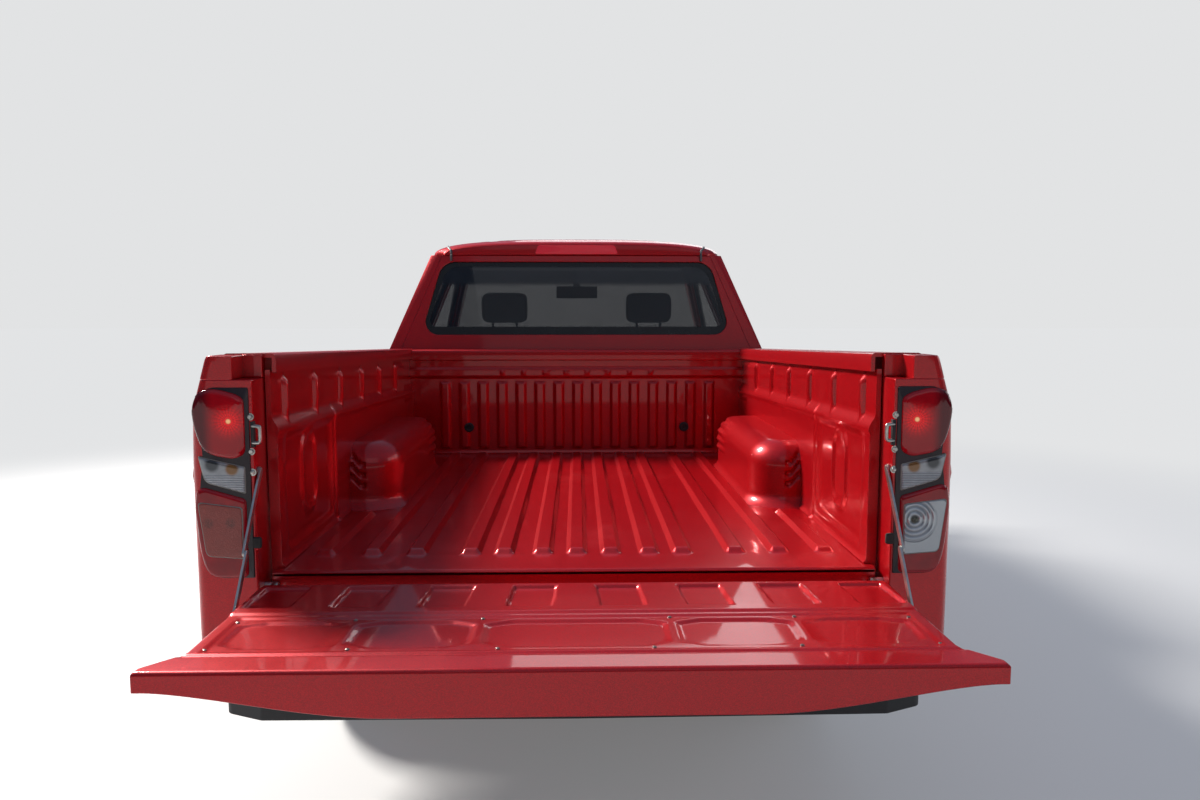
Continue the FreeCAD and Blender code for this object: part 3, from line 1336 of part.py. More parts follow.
def rim(y):
    """Rim with a ring of hand holes through its disc."""
    centre = (wheel_x, y, wheel_z)
    body = spun(rim_outline(), centre)
    hole = feature(body, "Pocket", "hole")
    drawing = body.newObject("Sketcher::SketchObject", current + "_hole_outline")
    plane = [part for part in body.Origin.OriginFeatures if part.Role == PLANES["x"]]
    drawing.AttachmentSupport = [(plane[0], "")]
    drawing.MapMode = "FlatFace"
    drawing.AttachmentOffset = FreeCAD.Placement(Vector(y, wheel_z, wheel_x), Rotation())
    for axis, value in zip("xyz", (y, wheel_z, wheel_x)):
        bind(drawing, "AttachmentOffset.Base." + axis, value)
    drawing.addGeometry(Part.Circle(Vector(128, 0, 0), Vector(0, 0, 1), float(size.hand_hole_radius)), False)
    drawing.addConstraint([Sketcher.Constraint("PointOnObject", 0, 3, -1),
                           Sketcher.Constraint("DistanceX", -1, 1, 0, 3, 128),
                           Sketcher.Constraint("Radius", 0, float(size.hand_hole_radius))])
    drawing.setExpression("Constraints[2]", size.hand_hole_radius.text)
    hole.Profile = drawing
    hole.Length = 120
    hole.Reversed = True
    ring = feature(body, "PolarPattern", "holes")
    ring.Originals = [hole]
    ring.Axis = (drawing, ["N_Axis"])
    ring.Angle = 360
    bind(ring, "Occurrences", size.hand_hole_count)
    return body


def wheels():
    """Tyres and rims at the four corners."""
    for label, y in (("front", front_axle), ("rear", rear_axle)):
        sides("rim_" + label, rim(y))
        sides("tyre_" + label, spun(tyre_outline(), (wheel_x, y, wheel_z)))


BUILDERS = [bed_floor, bed_side, tail_lamps, bulkhead, tailgate, stays, cab_sides, doors, cab_back, cab_glass,
            roof_panel, hood, front_fenders, front_bumper, grille, headlamps, cab_floor, dashboard, seats,
            mirrors, chassis_frame, front_suspension, knuckles, rear_axle_unit, propeller_shaft, exhaust,
            fuel_tank, spare_wheel, engine_block, rear_bumper, wheels]
for builder in BUILDERS:
    current = builder.__name__
    builder()
doc.recompute()

for thing in doc.Objects:
    assert not {"Invalid", "Error"} & set(thing.State), thing.Name
for label, piece in nodes.items():
    assert not piece.Shape.isNull() and piece.Shape.isValid(), label
os.makedirs("parts", exist_ok=True)
for label, piece in nodes.items():
    piece.Shape.exportStep("parts/%s.step" % label)
    box = piece.Shape.BoundBox
    print("%-24s %d solids %8.1f litres  x %6.0f %6.0f  y %6.0f %6.0f  z %5.0f %5.0f" % (
        label, len(piece.Shape.Solids), piece.Shape.Volume / 1e6, box.XMin, box.XMax, box.YMin, box.YMax,
        box.ZMin, box.ZMax))
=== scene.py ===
"""A pickup truck with its tailgate lying open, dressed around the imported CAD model.
Metres. +Y is forward, +X the truck's right-hand side, +Z up, and the origin lies on the ground."""
import math
import bpy
import numpy as np
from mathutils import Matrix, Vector


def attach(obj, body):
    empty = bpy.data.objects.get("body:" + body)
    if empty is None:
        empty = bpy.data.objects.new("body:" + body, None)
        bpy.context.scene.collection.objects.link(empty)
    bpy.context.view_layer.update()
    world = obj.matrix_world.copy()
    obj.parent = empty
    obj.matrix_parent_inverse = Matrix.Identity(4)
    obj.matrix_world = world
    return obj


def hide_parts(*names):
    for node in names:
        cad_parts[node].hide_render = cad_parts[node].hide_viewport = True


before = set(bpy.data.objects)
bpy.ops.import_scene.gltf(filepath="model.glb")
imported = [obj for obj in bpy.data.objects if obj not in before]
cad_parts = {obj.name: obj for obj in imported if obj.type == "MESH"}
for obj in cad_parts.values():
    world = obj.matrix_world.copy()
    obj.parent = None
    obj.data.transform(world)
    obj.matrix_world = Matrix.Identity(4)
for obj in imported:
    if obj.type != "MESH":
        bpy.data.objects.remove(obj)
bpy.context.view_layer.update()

# Places along the truck
FRONT_AXLE = 1.980
REAR_AXLE = -1.145
WALL_END = -2.265
BULKHEAD = -0.485
BED_FRONT = -0.445
HINGE_Y = -2.307
HINGE_Z = 0.770
FLOOR = 0.800
BED_HALF = 0.740
POST_INNER = 0.755
POST_REAR = -2.350
WHEEL_X = 0.785
WHEEL_Z = 0.375
ARCH = 0.430
SIDES = (1, -1)


# Shader maths

class Link:
    """A socket in a finish's nodes. Arithmetic on it adds Math nodes; make() adds any other node."""

    def __init__(self, tree, socket=None):
        self.tree = tree
        self.socket = socket

    def make(self, kind, settings=None, inputs=None, output=0):
        """A node of a kind: its settings first, then the values or links of its sockets."""
        node = self.tree.nodes.new(kind)
        for setting, value in (settings or {}).items():
            if setting == "stops":
                ramp = node.color_ramp
                while len(ramp.elements) < len(value):
                    ramp.elements.new(0.5)
                for element, (place, colour) in zip(ramp.elements, value):
                    element.position = place
                    element.color = colour
            else:
                setattr(node, setting, value)
        for name, value in (inputs or {}).items():
            if isinstance(value, Link):
                self.tree.links.new(value.socket, node.inputs[name])
            else:
                node.inputs[name].default_value = value
        return Link(self.tree, node.outputs[output])

    def math(self, operation, *others):
        """A Math node whose first value is this one."""
        return self.make("ShaderNodeMath", {"operation": operation}, dict(enumerate((self, *others))))

    def sine(self, scale):
        """The sine of this value times a scale."""
        return (self * scale).math("SINE")

    def __add__(self, other):
        return self.math("ADD", other)

    def __sub__(self, other):
        return self.math("SUBTRACT", other)

    def __rsub__(self, other):
        return self.make("ShaderNodeMath", {"operation": "SUBTRACT"}, {0: other, 1: self})

    def __mul__(self, other):
        return self.math("MULTIPLY", other)

    def __truediv__(self, other):
        return self.math("DIVIDE", other)

    __radd__ = __add__
    __rmul__ = __mul__

    def ramp(self, low, high):
        """0 below low, 1 above high, smooth between them."""
        settings = {"interpolation_type": "SMOOTHSTEP"}
        return self.make("ShaderNodeMapRange", settings, {"Value": self, "From Min": low, "From Max": high})

    def noise(self, scale, detail=3.0, roughness=0.5):
        place = self.make("ShaderNodeTexCoord", output="Object")
        values = {"Vector": place, "Scale": scale, "Detail": detail, "Roughness": roughness}
        return self.make("ShaderNodeTexNoise", None, values)

    def cells(self, scale, feature="F1", output="Distance"):
        place = self.make("ShaderNodeTexCoord", output="Object")
        return self.make("ShaderNodeTexVoronoi", {"feature": feature}, {"Vector": place, "Scale": scale},
                         output)

    def place(self):
        """The three parts of a point on the piece, in the truck's frame."""
        point = self.make("ShaderNodeTexCoord", output="Object")
        return [self.make("ShaderNodeSeparateXYZ", None, {"Vector": point}, axis) for axis in range(3)]

    def up(self):
        """How far the surface faces up, from -1 to 1."""
        normal = self.make("ShaderNodeNewGeometry", output="Normal")
        return self.make("ShaderNodeSeparateXYZ", None, {"Vector": normal}, 2)

    def mixed(self, low, high):
        """A colour between two, by this share."""
        node = self.tree.nodes.new("ShaderNodeMix")
        node.data_type = "RGBA"
        for socket, value in (("Factor_Float", self), ("A_Color", low), ("B_Color", high)):
            entry = next(i for i in node.inputs if i.identifier == socket)
            if isinstance(value, Link):
                self.tree.links.new(value.socket, entry)
            else:
                entry.default_value = value
        out = next(o for o in node.outputs if o.identifier == "Result_Color")
        return Link(self.tree, out)

    def bump(self, strength, distance):
        return self.make("ShaderNodeBump", None, {"Height": self, "Strength": strength,
                                                  "Distance": distance})


def finish(name, build):
    """A material whose shader sockets come from build(link), a dictionary of values and links."""
    material = bpy.data.materials.new(name)
    material.use_nodes = True
    tree = material.node_tree
    tree.nodes.clear()
    output = tree.nodes.new("ShaderNodeOutputMaterial")
    link = Link(tree)
    surface = link.make("ShaderNodeBsdfPrincipled", None, build(link))
    tree.links.new(surface.socket, output.inputs["Surface"])
    return material


def rgb(red, green, blue):
    """A colour given as it shows on a screen, 0 to 255."""
    parts = [c / 255 for c in (red, green, blue)]
    return (*[c / 12.92 if c < 0.04045 else ((c + 0.055) / 1.055) ** 2.4 for c in parts], 1.0)


def paint(link):
    """Red metallic paint: fine flakes in a deep red, dust in patches on what faces up, under clear coat."""
    flake = link.cells(900.0, output="Color")
    glint = link.make("ShaderNodeSeparateColor", None, {"Color": flake})
    patch = link.noise(3.0, 5.0, 0.6)
    dust = patch.ramp(0.45, 0.75) * link.up().ramp(0.5, 0.95) * 0.06
    body = (glint * 0.55 + 0.22).mixed(rgb(118, 0, 8), rgb(214, 4, 20))
    shade = dust.mixed(body, rgb(150, 80, 74))
    return {"Base Color": shade, "Metallic": 0.42, "Roughness": 0.33 + dust * 1.6 + glint * 0.06,
            "Coat Weight": 0.62 - dust * 2.0, "Coat Roughness": 0.045, "Coat IOR": 1.45,
            "Specular IOR Level": 0.35,
            "Normal": (glint + link.noise(55.0, 2.0) * 0.4).bump(0.05, 0.0004)}


def grained_plastic(low, high, roughness, scale=420.0):
    """Moulded plastic with a fine leather grain."""
    def build(link):
        grain = link.cells(scale)
        wear = link.noise(9.0, 4.0).ramp(0.35, 0.75)
        return {"Base Color": wear.mixed(low, high), "Roughness": roughness + wear * 0.12,
                "Normal": (grain + link.noise(scale * 0.6, 2.0) * 0.5).bump(0.25, 0.0006)}
    return build


def lens(colour, alpha, flute):
    """Lamp lens: clear plastic with fine upright flutes moulded in, and a little haze."""
    def build(link):
        x, y, z = link.place()
        ribs = x.sine(flute)
        haze = link.noise(30.0, 3.0)
        return {"Base Color": haze.ramp(0.2, 0.8).mixed(colour, tuple(c * 0.75 for c in colour[:3]) + (1.0,)),
                "Roughness": 0.05 + haze * 0.05, "Alpha": alpha, "Coat Weight": 1.0, "Coat Roughness": 0.02,
                "Specular IOR Level": 0.8, "Normal": ribs.bump(0.12, 0.0006)}
    return build


def reflector(tint):
    """Metallised bowl behind a lens, with rays of small facets round the bulb."""
    def build(link):
        facets = link.cells(160.0)
        return {"Base Color": facets.ramp(0.0, 0.7).mixed(tint, tuple(c * 0.45 for c in tint[:3]) + (1.0,)),
                "Metallic": 0.9, "Roughness": 0.16 + facets * 0.2, "Normal": facets.bump(0.8, 0.002)}
    return build


# Bulbs and spots behind the tail lamps' lenses: (sideways place, height)
BRAKE_BULB = (0.805, 1.177)
TURN_BULB = (0.804, 1.064)
TURN_PATCH = (0.850, 1.074)
REVERSE_BULB = (0.808, 0.936)
REFLECTOR_SPOTS = ((0.810, 0.936), (0.862, 0.936))


def away(link, side, height):
    """Distance and bearing from a bulb that lies at a sideways place and a height, on either side."""
    x, y, z = link.place()
    across = x.math("ABSOLUTE") - side
    up = z - height
    return (across * across + up * up).math("SQRT"), up.math("ARCTAN2", across)


def brake_lens(link):
    """Red lens over a lit bulb: a hot core, fine rays of facets round it, and a darker outer third."""
    x, y, z = link.place()
    far, bearing = away(link, *BRAKE_BULB)
    facets = link.cells(330.0)
    rays = bearing.sine(22.0) * 0.5 + 0.5
    rings = far.sine(900.0) * 0.5 + 0.5
    glow = far.ramp(0.062, 0.004)
    outer = x.math("ABSOLUTE").ramp(0.838, 0.868)
    plastic = outer.mixed(rgb(160, 2, 16), rgb(84, 1, 12))
    sparkle = glow * glow * (rays * 0.5 + rings * 0.25 + facets * 0.5)
    sparkle = sparkle.mixed(rgb(22, 0, 3), rgb(255, 12, 16))
    lit = far.ramp(0.0075, 0.0025).mixed(sparkle, rgb(255, 214, 150))
    return {"Base Color": plastic, "Roughness": 0.06 + facets * 0.05, "Coat Weight": 0.35,
            "Coat Roughness": 0.02, "Specular IOR Level": 0.3, "Emission Color": lit,
            "Emission Strength": 0.6, "Normal": (facets * glow).bump(0.3, 0.001)}


def frame_lens(link):
    """Deep red moulding of a lamp's lower half, smooth, a little darker at its edges."""
    haze = link.noise(24.0, 3.0)
    return {"Base Color": haze.ramp(0.2, 0.8).mixed(rgb(150, 2, 16), rgb(116, 1, 12)), "Roughness": 0.07,
            "Coat Weight": 0.35, "Coat Roughness": 0.02, "Specular IOR Level": 0.3,
            "Emission Color": rgb(60, 0, 6), "Emission Strength": 0.35}


def bar_lens(link):
    """Lens of the high brake lamp: bright red, with fine level lines."""
    x, y, z = link.place()
    lines = z.sine(1600.0)
    return {"Base Color": (lines * 0.5 + 0.5).mixed(rgb(168, 10, 30), rgb(222, 40, 62)), "Roughness": 0.10,
            "Coat Weight": 0.4, "Coat Roughness": 0.03, "Emission Color": rgb(150, 8, 26),
            "Emission Strength": 0.5, "Normal": lines.bump(0.2, 0.0008)}


def turn_lens(link):
    """Clear middle lens: level flutes in its lower half, an amber bulb inside and a dark patch out of it."""
    x, y, z = link.place()
    flutes = z.sine(1500.0) * z.ramp(1.052, 1.046)
    far, bearing = away(link, *TURN_BULB)
    patch, bearing = away(link, *TURN_PATCH)
    clear = (flutes * 0.35 + link.noise(40.0) * 0.5).mixed(rgb(120, 124, 128), rgb(196, 200, 202))
    shaded = patch.ramp(0.022, 0.010).mixed(clear, rgb(54, 58, 62))
    colour = far.ramp(0.019, 0.010).mixed(shaded, rgb(122, 84, 42))
    return {"Base Color": colour, "Roughness": 0.08, "Metallic": 0.25, "Coat Weight": 0.5,
            "Coat Roughness": 0.02, "Normal": flutes.bump(0.4, 0.0015)}


def reverse_lens(link):
    """Clear lens over a silver bowl: rings round a dark bulb on the inner side, smooth further out."""
    far, bearing = away(link, *REVERSE_BULB)
    rings = far.sine(560.0) * far.ramp(0.062, 0.040)
    bowl = (rings * 0.5 + 0.5).mixed(rgb(124, 130, 136), rgb(180, 186, 190))
    colour = far.ramp(0.013, 0.007).mixed(bowl, rgb(58, 58, 48))
    return {"Base Color": colour, "Metallic": 0.5, "Roughness": 0.16, "Coat Weight": 0.5,
            "Coat Roughness": 0.02, "Normal": rings.bump(0.5, 0.003)}


def plain_reflector(link):
    """Dull red-brown reflector of small prisms, with two dark round spots."""
    spot, bearing = away(link, *REFLECTOR_SPOTS[0])
    other, bearing = away(link, *REFLECTOR_SPOTS[1])
    near = spot.math("MINIMUM", other)
    prisms = link.cells(420.0)
    colour = near.ramp(0.016, 0.007).mixed(rgb(126, 40, 34), rgb(54, 22, 22))
    return {"Base Color": prisms.mixed(colour, rgb(150, 58, 46)), "Roughness": 0.22, "Coat Weight": 0.3,
            "Coat Roughness": 0.05, "Normal": prisms.bump(0.5, 0.001)}


def bare_metal(tint, roughness, stretch=260.0):
    """Plated or rolled metal: faint lines and small dull spots."""
    def build(link):
        spots = link.noise(38.0, 5.0, 0.65)
        lines = link.noise(stretch, 2.0)
        return {"Base Color": spots.ramp(0.3, 0.8).mixed(tint, tuple(c * 0.7 for c in tint[:3]) + (1.0,)),
                "Metallic": 1.0, "Roughness": roughness + spots.ramp(0.3, 0.9) * 0.18,
                "Normal": (lines + spots).bump(0.12, 0.0005)}
    return build


def cast_metal(link):
    """Rough cast iron and alloy with road dirt in its hollows."""
    grain = link.noise(140.0, 5.0, 0.7)
    dirt = link.noise(7.0, 4.0).ramp(0.4, 0.7)
    return {"Base Color": dirt.mixed(rgb(104, 102, 100), rgb(72, 64, 56)), "Metallic": 0.6 - dirt * 0.5,
            "Roughness": 0.55 + dirt * 0.3, "Normal": grain.bump(0.5, 0.0012)}


def frame_black(link):
    """Black frame coating: thin, satin, with dust and stone chips low down."""
    grain = link.noise(90.0, 4.0, 0.6)
    dust = link.noise(5.0, 5.0, 0.6).ramp(0.42, 0.8)
    chips = link.cells(70.0).ramp(0.10, 0.04) * dust
    coat = dust.mixed(rgb(24, 24, 26), rgb(66, 58, 50))
    return {"Base Color": chips.mixed(coat, rgb(110, 96, 84)), "Roughness": 0.42 + dust * 0.4,
            "Metallic": 0.1, "Normal": grain.bump(0.25, 0.0008)}


def tyre_rubber(link):
    """Tyre rubber: dark grey, paler with dust on the tread, with fine mould texture."""
    dust = link.noise(16.0, 4.0).ramp(0.3, 0.75)
    return {"Base Color": dust.mixed(rgb(26, 26, 27), rgb(58, 54, 50)), "Roughness": 0.72 + dust * 0.2,
            "Normal": (link.noise(300.0, 3.0) + dust * 0.3).bump(0.3, 0.0006)}


def tinted_glass(link):
    """Window glass: grey tint, faint smears, and a darker band along the top of the rear window."""
    x, y, z = link.place()
    smear = link.noise(6.0, 5.0, 0.65).ramp(0.45, 0.8)
    band = z.ramp(1.545, 1.575) * y.ramp(0.0, -0.2) * 0.38
    return {"Base Color": smear.mixed(rgb(16, 24, 32), rgb(32, 40, 48)), "Alpha": 0.52 + band + smear * 0.04,
            "Roughness": 0.01 + smear * 0.04, "IOR": 1.5, "Normal": smear.bump(0.02, 0.0002)}


def seat_cloth(link):
    """Woven seat cloth: two threads crossing, in dark greys."""
    x, y, z = link.place()
    along = x.sine(1400.0)
    across = (y + z).sine(1400.0)
    weave = along * across
    tone = link.noise(25.0, 4.0)
    return {"Base Color": (weave * 0.3 + tone * 0.7).mixed(rgb(28, 29, 31), rgb(62, 63, 66)),
            "Roughness": 0.88 + tone * 0.1, "Sheen Weight": 0.25, "Normal": (weave + tone).bump(0.4, 0.0008)}


def carpet(link):
    """Short-piled floor covering."""
    pile = link.noise(420.0, 4.0, 0.7)
    return {"Base Color": pile.mixed(rgb(30, 30, 31), rgb(60, 58, 56)), "Roughness": 0.95,
            "Normal": pile.bump(0.9, 0.003)}


def wheel_paint(link):
    """Silver wheel lacquer with brake dust."""
    flake = link.cells(1100.0)
    dust = link.noise(20.0, 4.0).ramp(0.4, 0.8)
    return {"Base Color": dust.mixed(rgb(188, 190, 193), rgb(128, 122, 116)), "Metallic": 0.85 - dust * 0.3,
            "Roughness": 0.28 + dust * 0.25 + flake * 0.05, "Coat Weight": 0.5,
            "Normal": flake.bump(0.05, 0.0003)}


RED = finish("red_paint", paint)
BLACK = finish("black_plastic", grained_plastic(rgb(20, 20, 21), rgb(38, 38, 40), 0.5))
TRIM = finish("grey_trim", grained_plastic(rgb(118, 116, 110), rgb(142, 140, 132), 0.62))
DARK_TRIM = finish("dark_trim", grained_plastic(rgb(34, 35, 37), rgb(48, 49, 51), 0.6))
STRIP = finish("roof_strip", grained_plastic(rgb(70, 72, 74), rgb(96, 98, 100), 0.45, 700.0))
FRIT = finish("window_border", grained_plastic(rgb(3, 3, 4), rgb(6, 6, 7), 0.25, 1500.0))
GLASS = finish("window_glass", tinted_glass)
BAR_LENS = finish("bar_lens", bar_lens)
CLEAR_LENS = finish("clear_lens", lens(rgb(214, 218, 220), 0.20, 420.0))
SILVER_BOWL = finish("silver_bowl", reflector(rgb(205, 208, 212)))
BRAKE_LENS = finish("brake_lens", brake_lens)
FRAME_LENS = finish("lamp_frame", frame_lens)
TURN_LENS = finish("turn_lens", turn_lens)
REVERSE_LENS = finish("reverse_lens", reverse_lens)
REFLECTOR = finish("plain_reflector", plain_reflector)
SURROUND = finish("lamp_surround", grained_plastic(rgb(24, 10, 18), rgb(38, 18, 28), 0.34, 900.0))
ZINC = finish("bare_steel", bare_metal(rgb(190, 188, 182), 0.30))
BOLT = finish("bolt_steel", bare_metal(rgb(150, 140, 132), 0.35))
CHROME = finish("bright_trim", bare_metal(rgb(214, 216, 220), 0.10))
CAST = finish("cast_metal", cast_metal)
FRAME = finish("black_steel", frame_black)
RUBBER = finish("rubber", tyre_rubber)
CLOTH = finish("seat_fabric", seat_cloth)
CARPET = finish("floor_mat", carpet)
WHEEL = finish("wheel_silver", wheel_paint)


# Shapes: a part is (points, faces), closed, with its faces outwards

def outward(points, quads, triangles):
    """Turns a closed part's faces round if they point inwards, which the sign of its volume tells."""
    fans = [quads[:, [0, 1, 2]], quads[:, [0, 2, 3]], triangles]
    corners = points[np.concatenate([f.reshape(-1, 3) for f in fans])]
    volume = np.einsum("ij,ij->i", corners[:, 0], np.cross(corners[:, 1], corners[:, 2])).sum()
    if volume < 0:
        quads, triangles = quads[:, ::-1], triangles[:, ::-1]
    return points, quads, triangles


NO_TRIANGLES = np.zeros((0, 3), int)


def plate(front, back, keep=None):
    """Closed plate between two grids of points. Cells where keep is False are left out, and every open
    edge between a kept cell and a missing one is walled from the front grid to the back grid."""
    rows, columns = front.shape[:2]
    count = rows * columns
    points = np.concatenate([front.reshape(-1, 3), back.reshape(-1, 3)])
    index = np.arange(count).reshape(rows, columns)
    a, b, c, d = index[:-1, :-1], index[1:, :-1], index[1:, 1:], index[:-1, 1:]
    cells = np.ones(a.shape, bool) if keep is None else keep
    face = np.stack([a, b, c, d], -1)[cells]
    round_it = np.pad(cells, 1)
    walls = []
    for start, end, neighbour in ((a, b, round_it[1:-1, :-2]), (c, d, round_it[1:-1, 2:]),
                                  (d, a, round_it[:-2, 1:-1]), (b, c, round_it[2:, 1:-1])):
        edge = cells & ~neighbour
        s, e = start[edge], end[edge]
        walls.append(np.stack([e, s, s + count, e + count], -1))
    quads = np.concatenate([face, face[:, ::-1] + count] + walls)
    return outward(points, quads, NO_TRIANGLES)


def tube(rings, loop=False):
    """Closed skin over rings of points: each ring closed, the ends shut by fans to their middles,
    or the last ring joined to the first."""
    count, around = rings.shape[:2]
    points = rings.reshape(-1, 3)
    index = np.arange(count * around).reshape(count, around)
    nearby = np.roll(index, -1, axis=1)
    last = count if loop else count - 1
    following = np.roll(index, -1, axis=0)
    following_nearby = np.roll(nearby, -1, axis=0)
    quads = np.stack([index, following, following_nearby, nearby], -1)[:last].reshape(-1, 4)
    triangles = NO_TRIANGLES
    if not loop:
        points = np.concatenate([points, rings[[0, -1]].mean(axis=1)])
        first = np.stack([index[0], nearby[0], np.full(around, count * around)], -1)
        end = np.stack([nearby[-1], index[-1], np.full(around, count * around + 1)], -1)
        triangles = np.concatenate([first, end])
    return outward(points, quads, triangles)


def bent(corners, steps=5):
    """Outline through corners (a, b, cut): each corner is cut back by cut and rounded with a parabola."""
    corners = [c if len(c) > 2 else (*c, 0.0) for c in corners]
    points = []
    share = np.linspace(0, 1, steps)[:, None]
    for index, (a, b, cut) in enumerate(corners):
        here = np.array([a, b])
        before = np.array(corners[index - 1][:2])
        after = np.array(corners[(index + 1) % len(corners)][:2])
        if not cut:
            points.append(here[None])
            continue
        start = here + (before - here) / np.linalg.norm(before - here) * cut
        end = here + (after - here) / np.linalg.norm(after - here) * cut
        points.append(start * (1 - share) ** 2 + 2 * here * share * (1 - share) + end * share ** 2)
    return np.concatenate(points)


def placed(outline, axis, at):
    """A flat outline (a, b) put at a place on an axis: x gives (y, z), y gives (x, z), z gives (x, y)."""
    fixed = np.full(len(outline), float(at))
    columns = {"x": (fixed, outline[:, 0], outline[:, 1]), "y": (outline[:, 0], fixed, outline[:, 1]),
               "z": (outline[:, 0], outline[:, 1], fixed)}
    return np.stack(columns[axis], -1)


def bar(outline, axis, low, high, edge=0.0):
    """An outline carried along an axis; its ends draw in over edge, in three steps, about its middle."""
    middle = outline.mean(axis=0)
    size = np.abs(outline - middle).max()
    rings = []
    for at, inset in ((low, edge), (low + edge * 0.3, edge * 0.3), (low + edge, 0.0),
                      (high - edge, 0.0), (high - edge * 0.3, edge * 0.3), (high, edge)):
        rings.append(placed(middle + (outline - middle) * (1 - inset / size), axis, at))
    return tube(np.array(rings)) if edge else tube(np.array([rings[2], rings[3]]))


def box_outline(a_low, a_high, b_low, b_high, cut):
    return bent([(a_low, b_low, cut), (a_high, b_low, cut), (a_high, b_high, cut), (a_low, b_high, cut)])


def block(low, high, edge):
    """A block between two corners with its edges rounded over."""
    return bar(box_outline(low[0], high[0], low[1], high[1], edge), "z", low[2], high[2], edge)


def basis(way):
    """Two directions square to a way, and the way itself, all of length one."""
    way = np.array(way, float) / np.linalg.norm(way)
    side = np.cross(way, (0.0, 0.0, 1.0) if abs(way[2]) < 0.9 else (1.0, 0.0, 0.0))
    side /= np.linalg.norm(side)
    return side, np.cross(way, side), way


def lathe(profile, centre, way, steps=40, loop=False):
    """A profile of (along, radius) turned about a way through a centre."""
    side, other, way = basis(way)
    angle = np.linspace(0, 2 * math.pi, steps, endpoint=False)
    profile = np.array(profile, float)
    ring = np.cos(angle)[:, None] * side + np.sin(angle)[:, None] * other
    rings = np.array(centre) + profile[:, 0, None, None] * way + profile[:, 1, None, None] * ring
    return tube(rings, loop)


def pipe(path, radius, steps=12):
    """A round bar along a line of points: rings square to the line's own direction."""
    path = np.array(path, float)
    ways = np.gradient(path, axis=0)
    radius = np.broadcast_to(radius, len(path))
    angle = np.linspace(0, 2 * math.pi, steps, endpoint=False)
    rings = []
    side = basis(ways[0])[0]
    for point, way, size in zip(path, ways, radius):
        way = way / np.linalg.norm(way)
        side = side - way * (side @ way)
        side /= np.linalg.norm(side)
        other = np.cross(way, side)
        rings.append(point + size * (np.cos(angle)[:, None] * side + np.sin(angle)[:, None] * other))
    return tube(np.array(rings))


def curve(points, count=40):
    """A smooth line through a few points: each run is a Catmull-Rom cubic."""
    points = np.array(points, float)
    ends = np.concatenate([[2 * points[0] - points[1]], points, [2 * points[-1] - points[-2]]])
    runs = np.linspace(0, len(points) - 1, count)
    run = np.minimum(runs.astype(int), len(points) - 2)
    t = (runs - run)[:, None]
    a, b, c, d = (ends[run + k] for k in range(4))
    return 0.5 * (2 * b + (c - a) * t + (2 * a - 5 * b + 4 * c - d) * t ** 2
                  + (3 * b - 3 * c + d - a) * t ** 3)


def dome(centre, way, radius, height, steps=12):
    """A domed bolt head with a flat flange under it."""
    profile = [(0.0, radius * 1.5), (height * 0.2, radius * 1.5), (height * 0.25, radius),
               (height * 0.7, radius * 0.9), (height, radius * 0.45)]
    return lathe(profile, centre, way, steps)


def hexagon(centre, way, radius, height):
    """A six-sided bolt head on a washer."""
    washer = lathe([(0.0, radius * 1.45), (height * 0.25, radius * 1.45)], centre, way, 16)
    head = lathe([(height * 0.2, radius), (height * 0.85, radius), (height, radius * 0.8)], centre, way, 6)
    return [washer, head]


def mirrored(part):
    points, quads, triangles = part
    return outward(points * (-1, 1, 1), quads, triangles)


def both(parts):
    """Parts of the right-hand side with their twins on the left."""
    return parts + [mirrored(part) for part in parts]


def piece(name, parts, material, body="truck", replaces=(), sharp=32, rounding=0.0):
    """One object from closed parts, on a body. Edges turning by more than sharp degrees stay crisp."""
    points, faces, start = [], [], 0
    for part_points, quads, triangles in parts:
        points.append(part_points)
        faces += (quads + start).tolist() + (triangles + start).tolist()
        start += len(part_points)
    mesh = bpy.data.meshes.new(name)
    mesh.from_pydata(np.concatenate(points).tolist(), [], faces)
    mesh.polygons.foreach_set("use_smooth", np.ones(len(mesh.polygons), bool))
    mesh.set_sharp_from_angle(angle=math.radians(sharp))
    mesh.materials.append(material)
    thing = bpy.data.objects.new(name, mesh)
    bpy.context.scene.collection.objects.link(thing)
    if rounding:
        soften(thing, rounding)
    if replaces:
        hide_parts(*replaces)
    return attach(thing, body)


def soften(thing, width, segments=2, limit=35):
    """Rounds the piece's crisp edges by a width."""
    bevel = thing.modifiers.new("rounded_edges", "BEVEL")
    bevel.width = width
    bevel.segments = segments
    bevel.limit_method = "ANGLE"
    bevel.angle_limit = math.radians(limit)
    bevel.harden_normals = False


def step(value, start, end):
    """0 before start, 1 after end, smooth between them."""
    share = np.clip((value - start) / (end - start), 0, 1)
    return share * share * (3 - 2 * share)


def rib(value, middle, top, base):
    """1 within top/2 of the middle, 0 beyond base/2."""
    return 1 - step(np.abs(value - middle), top / 2, base / 2)


def inside(value, low, high, slope):
    """1 between low and high, 0 outside them by a slope's width."""
    return step(value, low - slope, low) * (1 - step(value, high, high + slope))


def spaced(low, high, gap, at=(), near=0.02, fine=0.002):
    """Places from low to high every gap, and every fine within near of each place in at."""
    places = [np.arange(low, high, gap), [high]]
    for middle in at:
        places.append(np.arange(middle - near, middle + near + fine / 2, fine))
    places = np.unique(np.round(np.concatenate(places), 5))
    places = places[(places >= low) & (places <= high)]
    return places[np.concatenate([[True], np.diff(places) > fine * 0.45])]


def rail_top(y):
    """Height of the bed's top rail."""
    return FLOOR + 0.530 - 0.060 * (y - WALL_END) / 1.780


# Bed

RIDGES = (0.0, 0.089, 0.190, 0.277, 0.418, 0.535)
OUTER_RIDGE = 0.655
HOUSING_START, HOUSING_END = WALL_END + 0.665, WALL_END + 1.500
HOUSING_INNER = BED_HALF - 0.165


